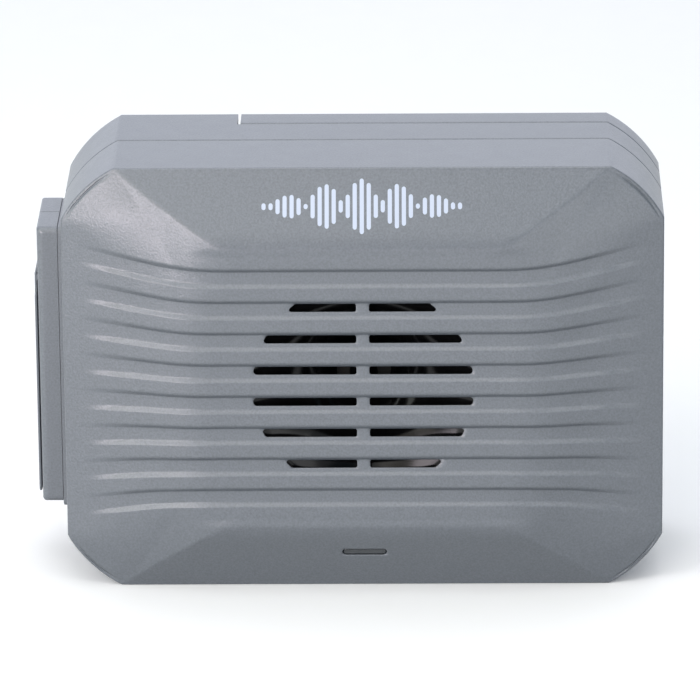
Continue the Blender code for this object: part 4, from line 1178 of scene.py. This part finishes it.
def selector(looks):
    """The selector: a fluted cap with a raised pointer bar, on its shaft."""
    black = looks["black"]
    low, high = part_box("selector_knob")
    centre = centre_of("selector_knob")
    foot_x = low.x + 0.0040
    steps, flutes = 144, 24
    profile = (
        (foot_x, 0.0059, 0.0),
        (foot_x - 0.0004, 0.0060, 0.0),
        (foot_x - 0.0008, 0.0056, 0.00025),
        (low.x + 0.0012, 0.0054, 0.00025),
        (low.x + 0.0006, 0.0051, 0.0001),
        (low.x + 0.0003, 0.0047, 0.0),
    )
    rings = []
    for x, radius, flute in profile:
        ring = []
        for i in range(steps):
            angle = 2 * math.pi * i / steps
            reach = radius - flute * (0.5 + 0.5 * math.cos(flutes * angle))
            ring.append((centre.y + reach * math.cos(angle), centre.z + reach * math.sin(angle)))
        rings.append(section(ring, x, "X"))
    cap = loft("selector_grip", rings, black)
    rod = [(0.0015, foot_x - 0.0005), (0.0015, high.x)]
    shaft = turned("shaft", rod, (0, centre.y, centre.z), black, axis="X", segments=32)
    bar_low = (low.x, centre.y - 0.0009, centre.z - 0.0040)
    bar = block("bar", bar_low, (low.x + 0.0006, centre.y + 0.0009, centre.z + 0.0043), black, 0.00025)
    combine(cap, [shaft, bar], "UNION")
    smooth(cap, 30)
    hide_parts("selector_knob")
    finish_piece(cap, "selector_knob")
    mark_low = (low.x - 0.00003, centre.y - 0.00025, centre.z + 0.0012)
    mark_high = (low.x + 0.0001, centre.y + 0.00025, centre.z + 0.0040)
    mark = block("selector_mark", mark_low, mark_high, looks["print"], 0.00002)
    finish_piece(mark, "selector_knob")


def slider(looks):
    """The power slider, with three grip ridges across its face."""
    low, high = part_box("power_slider")
    made = block("slide_tip", low, high, looks["white"], 0.0003, 3)
    middle = (low.z + high.z) / 2
    cutters = []
    for shift in (-0.0008, 0.0, 0.0008):
        z = middle + shift
        nick_low = (low.x - 0.001, low.y - 0.001, z - 0.00018)
        cutters.append(block("nick", nick_low, (low.x + 0.0003, high.y + 0.001, z + 0.00018), looks["white"]))
    combine(made, cutters)
    smooth(made)
    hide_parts("power_slider")
    finish_piece(made, "power_slider")


def button(looks):
    """The test button: a dished round cap with a retaining flange behind the plate."""
    low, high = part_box("test_button")
    centre = centre_of("test_button")
    flange = high.x - 0.0006
    profile = [
        (0.0, low.x + 0.0003),
        (0.0010, low.x + 0.00025),
        (0.0017, low.x + 0.00005),
        (0.0020, low.x),
        (0.0023, low.x + 0.0001),
        (0.0024, low.x + 0.0004),
        (0.0024, flange),
        (0.0035, flange),
        (0.0035, high.x),
        (0.0, high.x),
    ]
    made = turned("press_tip", profile, (0, centre.y, centre.z), looks["white"], axis="X")
    smooth(made)
    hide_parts("test_button")
    finish_piece(made, "test_button")


def jack(looks):
    """The power jack's barrel, with an open socket around its pin."""
    low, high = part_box("power_jack")
    centre = centre_of("power_jack")
    profile = [
        (0.0, -0.0660),
        (0.0028, -0.0660),
        (0.0028, low.x + 0.0003),
        (0.0031, low.x),
        (0.0038, low.x),
        (0.0040, low.x + 0.0002),
        (0.0040, high.x),
        (0.0, high.x),
    ]
    made = turned("jack_barrel", profile, (0, centre.y, centre.z), looks["black"], axis="X")
    smooth(made)
    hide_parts("power_jack")
    finish_piece(made, "case")


# ---------------------------------------------------------------- the horn


def horn(looks):
    """The flared horn behind the slots, with its flange plate, and its plug."""
    low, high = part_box("speaker_horn")
    throat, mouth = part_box("horn_back_cap")[0].y - 0.0003, low.y
    count = 28
    inner = []
    for i in range(count + 1):
        share = i / count
        radius = HORN_MOUTH * math.exp(-1.4 * share) * (1 - 0.02 * share)
        inner.append((max(radius, HORN_THROAT), mouth + (throat - mouth) * share))
    outer = [(0.0150, throat), (0.0170, -0.0160), (0.0240, -0.0196)]
    outer += [(0.0289, -0.0206), (0.0289, mouth + 0.0003), (0.0286, mouth)]
    flare = turned("horn_flare", inner + outer, ON_AXIS, looks["horn"], segments=96, close=True)
    flange = low.y + HORN_FLANGE
    half = (high.x - low.x) / 2

    def outline(inset):
        return rounded_polygon(centred(MIDDLE.x, MIDDLE.z, half - inset, half - inset), 0.006, 6)

    plate = rounded_prism("plate", outline, (flange, flange + 0.0018), (0.0003, 0.0003), looks["horn"])
    through = [(HORN_MOUTH, -0.05), (HORN_MOUTH, 0.05)]
    combine(plate, [turned("opening", through, ON_AXIS, looks["horn"], segments=96)])
    combine(flare, [plate], "UNION")
    bore = [(0.0015, -0.03), (0.0015, -0.01)]
    holes = []
    for sx in (-1, 1):
        for sz in (-1, 1):
            place = (MIDDLE.x + sx * HORN_POST, 0, MIDDLE.z + sz * HORN_POST)
            holes.append(turned("hole", bore, place, looks["horn"], segments=24))
    combine(flare, holes)
    smooth(flare)
    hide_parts("speaker_horn")
    finish_piece(flare, "case")
    plug_low, plug_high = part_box("phase_plug")
    profile = []
    for i in range(25):
        share = i / 24
        radius = 0.0036 * math.sin(math.pi * min(share * 1.15, 1.0) / 2) ** 0.8
        radius *= 1.0 if share < 0.8 else 1 - 0.5 * (share - 0.8)
        profile.append((radius if i else 0.0, plug_low.y + (plug_high.y - plug_low.y) * share))
    plug = turned("horn_plug", profile, ON_AXIS, looks["horn"])
    smooth(plug)
    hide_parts("phase_plug")
    finish_piece(plug, "case")


# ---------------------------------------------------------------- print, window


def wave_print(looks):
    """A plain printed sound wave of upright bars on the sloping plane above the ribs."""
    bars = []
    for i in range(-PRINT_BARS, PRINT_BARS + 1):
        share = i / PRINT_BARS
        swing = abs(math.cos(WAVE_SWINGS * math.pi * share)) * math.exp(-WAVE_FALL * share * share)
        half = (WAVE_LEAST + (1 - WAVE_LEAST) * swing) * PRINT_HALF_HEIGHT
        x = i * PRINT_HALF_WIDTH / PRINT_BARS
        bars.append(print_bar(x, half, looks["print"]))
    made = merged("wave_print", bars, looks["print"])
    finish_piece(made, "case")


def print_bar(x, half_height, material):
    """One bar with round ends that follows the crown, sunk a little into it."""
    half_width = PRINT_BAR_WIDTH / 2
    half_height = max(half_height, half_width * 1.02)
    outline = []
    for i in range(9):
        angle = math.pi * i / 8
        up = half_height - half_width + half_width * math.sin(angle)
        outline.append((half_width * math.cos(angle), up))
    straight = half_height - half_width
    steps = 8
    left = [(-half_width, straight - 2 * straight * i / steps) for i in range(1, steps)]
    right = [(-p[0], -p[1]) for p in left]
    outline += left + [(-p[0], -p[1]) for p in outline] + right
    builder = bmesh.new()
    rings = []
    for proud in (-PRINT_SUNK, PRINT_PROUD):
        ring = []
        for px, pz in outline:
            z = PRINT_MIDDLE_Z - MIDDLE.z + pz
            y = FRONT_EDGE_Y - crown_height(x + px, z) - proud
            ring.append(builder.verts.new((MIDDLE.x + x + px, y, MIDDLE.z + z)))
        rings.append(ring)
    bridge(builder, rings)
    for ring in rings:
        builder.faces.new(ring)
    bmesh.ops.triangulate(builder, faces=[f for f in builder.faces if len(f.verts) > 4])
    return new_object("bar", builder, material)


def window_lens(looks):
    """The status window's lens: a rounded bar on a light guide that runs back to the board."""
    low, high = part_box("light_guide")

    def outline(inset):
        half_x, half_z = WINDOW_HALF_LENGTH - GAP / 2 - inset, WINDOW_HALF_HEIGHT - GAP / 2 - inset
        return rounded_polygon(centred(MIDDLE.x, WINDOW_Z, half_x, half_z), half_z * 0.97, 8)

    ends, rims = (low.y, low.y + 0.0040), (0.0004, 0.0001)
    lens = rounded_prism("status_lens", outline, ends, rims, looks["lens"], steps=4)
    bar = block("bar", (low.x, low.y + 0.0036, low.z), high, looks["lens"], 0.0003)
    combine(lens, [bar], "UNION")
    smooth(lens)
    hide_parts("light_guide")
    finish_piece(lens, "case")


# ---------------------------------------------------------------- fasteners, cells and fittings


def fine_screw(node, body, looks):
    """A pan-head screw with a cross recess and a turned thread, in place of the plain one."""
    low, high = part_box(node)
    centre = (low + high) / 2
    head_radius = (high.x - low.x) / 2
    head = SCREW_HEAD
    seat = high.y - head
    shank = head_radius * 0.44
    profile = [(0.0, low.y), (shank * 0.35, low.y + 0.0004), (shank * 0.8, low.y + 0.0014)]
    pitch, y = 0.0011, low.y + 0.0018
    while y < seat - 0.0018:
        profile += [(shank * 0.80, y), (shank, y + pitch * 0.35), (shank * 0.80, y + pitch * 0.7)]
        y += pitch
    profile += [(shank * 0.86, seat), (head_radius - 0.0001, seat), (head_radius, seat + 0.0002)]
    for i in range(7):
        angle = math.pi / 2 * i / 6
        radius = head_radius * (0.55 + 0.45 * math.cos(angle))
        profile.append((radius, seat + head * (0.35 + 0.65 * math.sin(angle))))
    profile.append((0.0, high.y))
    made = turned(f"fine_{node}", profile, (centre.x, 0, centre.z), looks["steel"], segments=48)
    arm, half = head_radius * 0.60, head_radius * 0.13
    for wide, tall in ((arm, half), (half, arm)):
        rings = []
        for scale, y in ((0.55, high.y - 0.0011), (0.9, high.y - 0.0002), (1.0, high.y + 0.0005)):
            corners = centred(centre.x, centre.z, wide * scale, tall * scale)
            rings.append(section(corners, y, "Y"))
        combine(made, [loft("arm", rings, looks["steel"])])
    smooth(made, 35)
    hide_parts(node)
    finish_piece(made, body)


def fine_cell(number, looks):
    """An AA cell: a sleeved can with a crimped shoulder, its nub up on odd cells and down on even ones."""
    low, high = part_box(f"cell_{number}")
    centre = (low + high) / 2
    radius = (high.x - low.x) / 2
    up = 1 if number % 2 else -1
    length = high.z - low.z
    base = -length / 2
    shoulder = length / 2 - 0.001
    profile = [
        (0.0, base + 0.0002),
        (radius * 0.60, base + 0.0002),
        (radius * 0.66, base),
        (radius - 0.0009, base),
        (radius - 0.0002, base + 0.0003),
        (radius, base + 0.0009),
        (radius, shoulder - 0.0008),
        (radius - 0.0003, shoulder - 0.0002),
        (radius - 0.0010, shoulder),
        (radius - 0.0016, shoulder - 0.0003),
        (0.0031, shoulder - 0.0002),
        (0.0028, shoulder + 0.0001),
        (0.0027, shoulder + 0.0007),
        (0.0024, shoulder + 0.0010),
        (0.0, shoulder + 0.0010),
    ]
    sleeve = looks["sleeve_up" if up > 0 else "sleeve_down"]
    made = turned(f"fine_cell_{number}", [(r, up * z) for r, z in profile], tuple(centre), sleeve, axis="Z")
    smooth(made)
    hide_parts(f"cell_{number}")
    finish_piece(made, "case")


def tray_shell(looks):
    """The battery tray: a rounded tub with a flange, and ridges on its floor between the cells."""
    black = looks["black"]
    low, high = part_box("battery_tray")
    flange_front = high.y - 0.0012

    def outline(inset):
        corners = rectangle(low.x + inset, low.z + inset, high.x - inset, high.z - inset)
        return rounded_polygon(corners, 0.0015)

    tray = rounded_prism("cell_tray", outline, (flange_front, high.y), (0.0002, 0.0003), black)
    tub_low = (low.x + FLANGE, low.y, low.z + FLANGE)
    tub = block("tub", tub_low, (high.x - FLANGE, high.y - 0.0003, high.z - FLANGE), black, 0.0006)
    combine(tray, [tub], "UNION")
    wall = FLANGE + 0.0015
    inside_low = (low.x + wall, low.y + 0.0015, low.z + wall)
    inside = block("inside", inside_low, (high.x - wall, 0.04, high.z - wall), black, 0.0004)
    combine(tray, [inside])
    cells = [centre_of(f"cell_{n}") for n in range(1, 5)]
    ridges = []
    for a, b in zip(cells, cells[1:]):
        x = (a.x + b.x) / 2
        rings = []
        for half, y in ((0.0022, low.y + 0.0012), (0.0012, low.y + 0.0024), (0.0004, low.y + 0.0038)):
            rings.append(section(centred(x, MIDDLE.z, half, 0.016), y, "Y"))
        ridges.append(loft("ridge", rings, black))
    combine(tray, ridges, "UNION")
    smooth(tray)
    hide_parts("battery_tray")
    finish_piece(tray, "case")


def dress_nodes(looks):
    """Better materials for the CAD nodes that stay."""
    finishes = {
        "board": "board", "steel": "steel", "brass": "brass", "dark_rubber": "rubber", "red_wire": "red_wire",
        "black_wire": "black_wire", "white_plastic": "white", "paper_cone": "cone", "black_plastic": "black",
        "cell_jacket": "sleeve_up", "smoked_lens": "lens", "grey_plastic": "grey",
    }
    for part in frame["record"]["subparts"]:
        node = frame["nodes"][part["node"]]
        for slot in node.material_slots:
            slot.material = looks[finishes[part["material_slot"]]]


# ---------------------------------------------------------------- assembly


def main():
    camera()
    looks = materials()
    stage()
    dress_nodes(looks)
    front_cover(looks)
    rear_shell(looks)
    cover_shell(looks)
    control_box(looks)
    flap(looks)
    selector(looks)
    slider(looks)
    button(looks)
    jack(looks)
    horn(looks)
    wave_print(looks)
    window_lens(looks)
    tray_shell(looks)
    for number in range(1, 5):
        fine_screw(f"case_screw_{number}", "case", looks)
        fine_cell(number, looks)
    for number in (1, 2):
        fine_screw(f"cover_screw_{number}", "battery_cover", looks)


main()
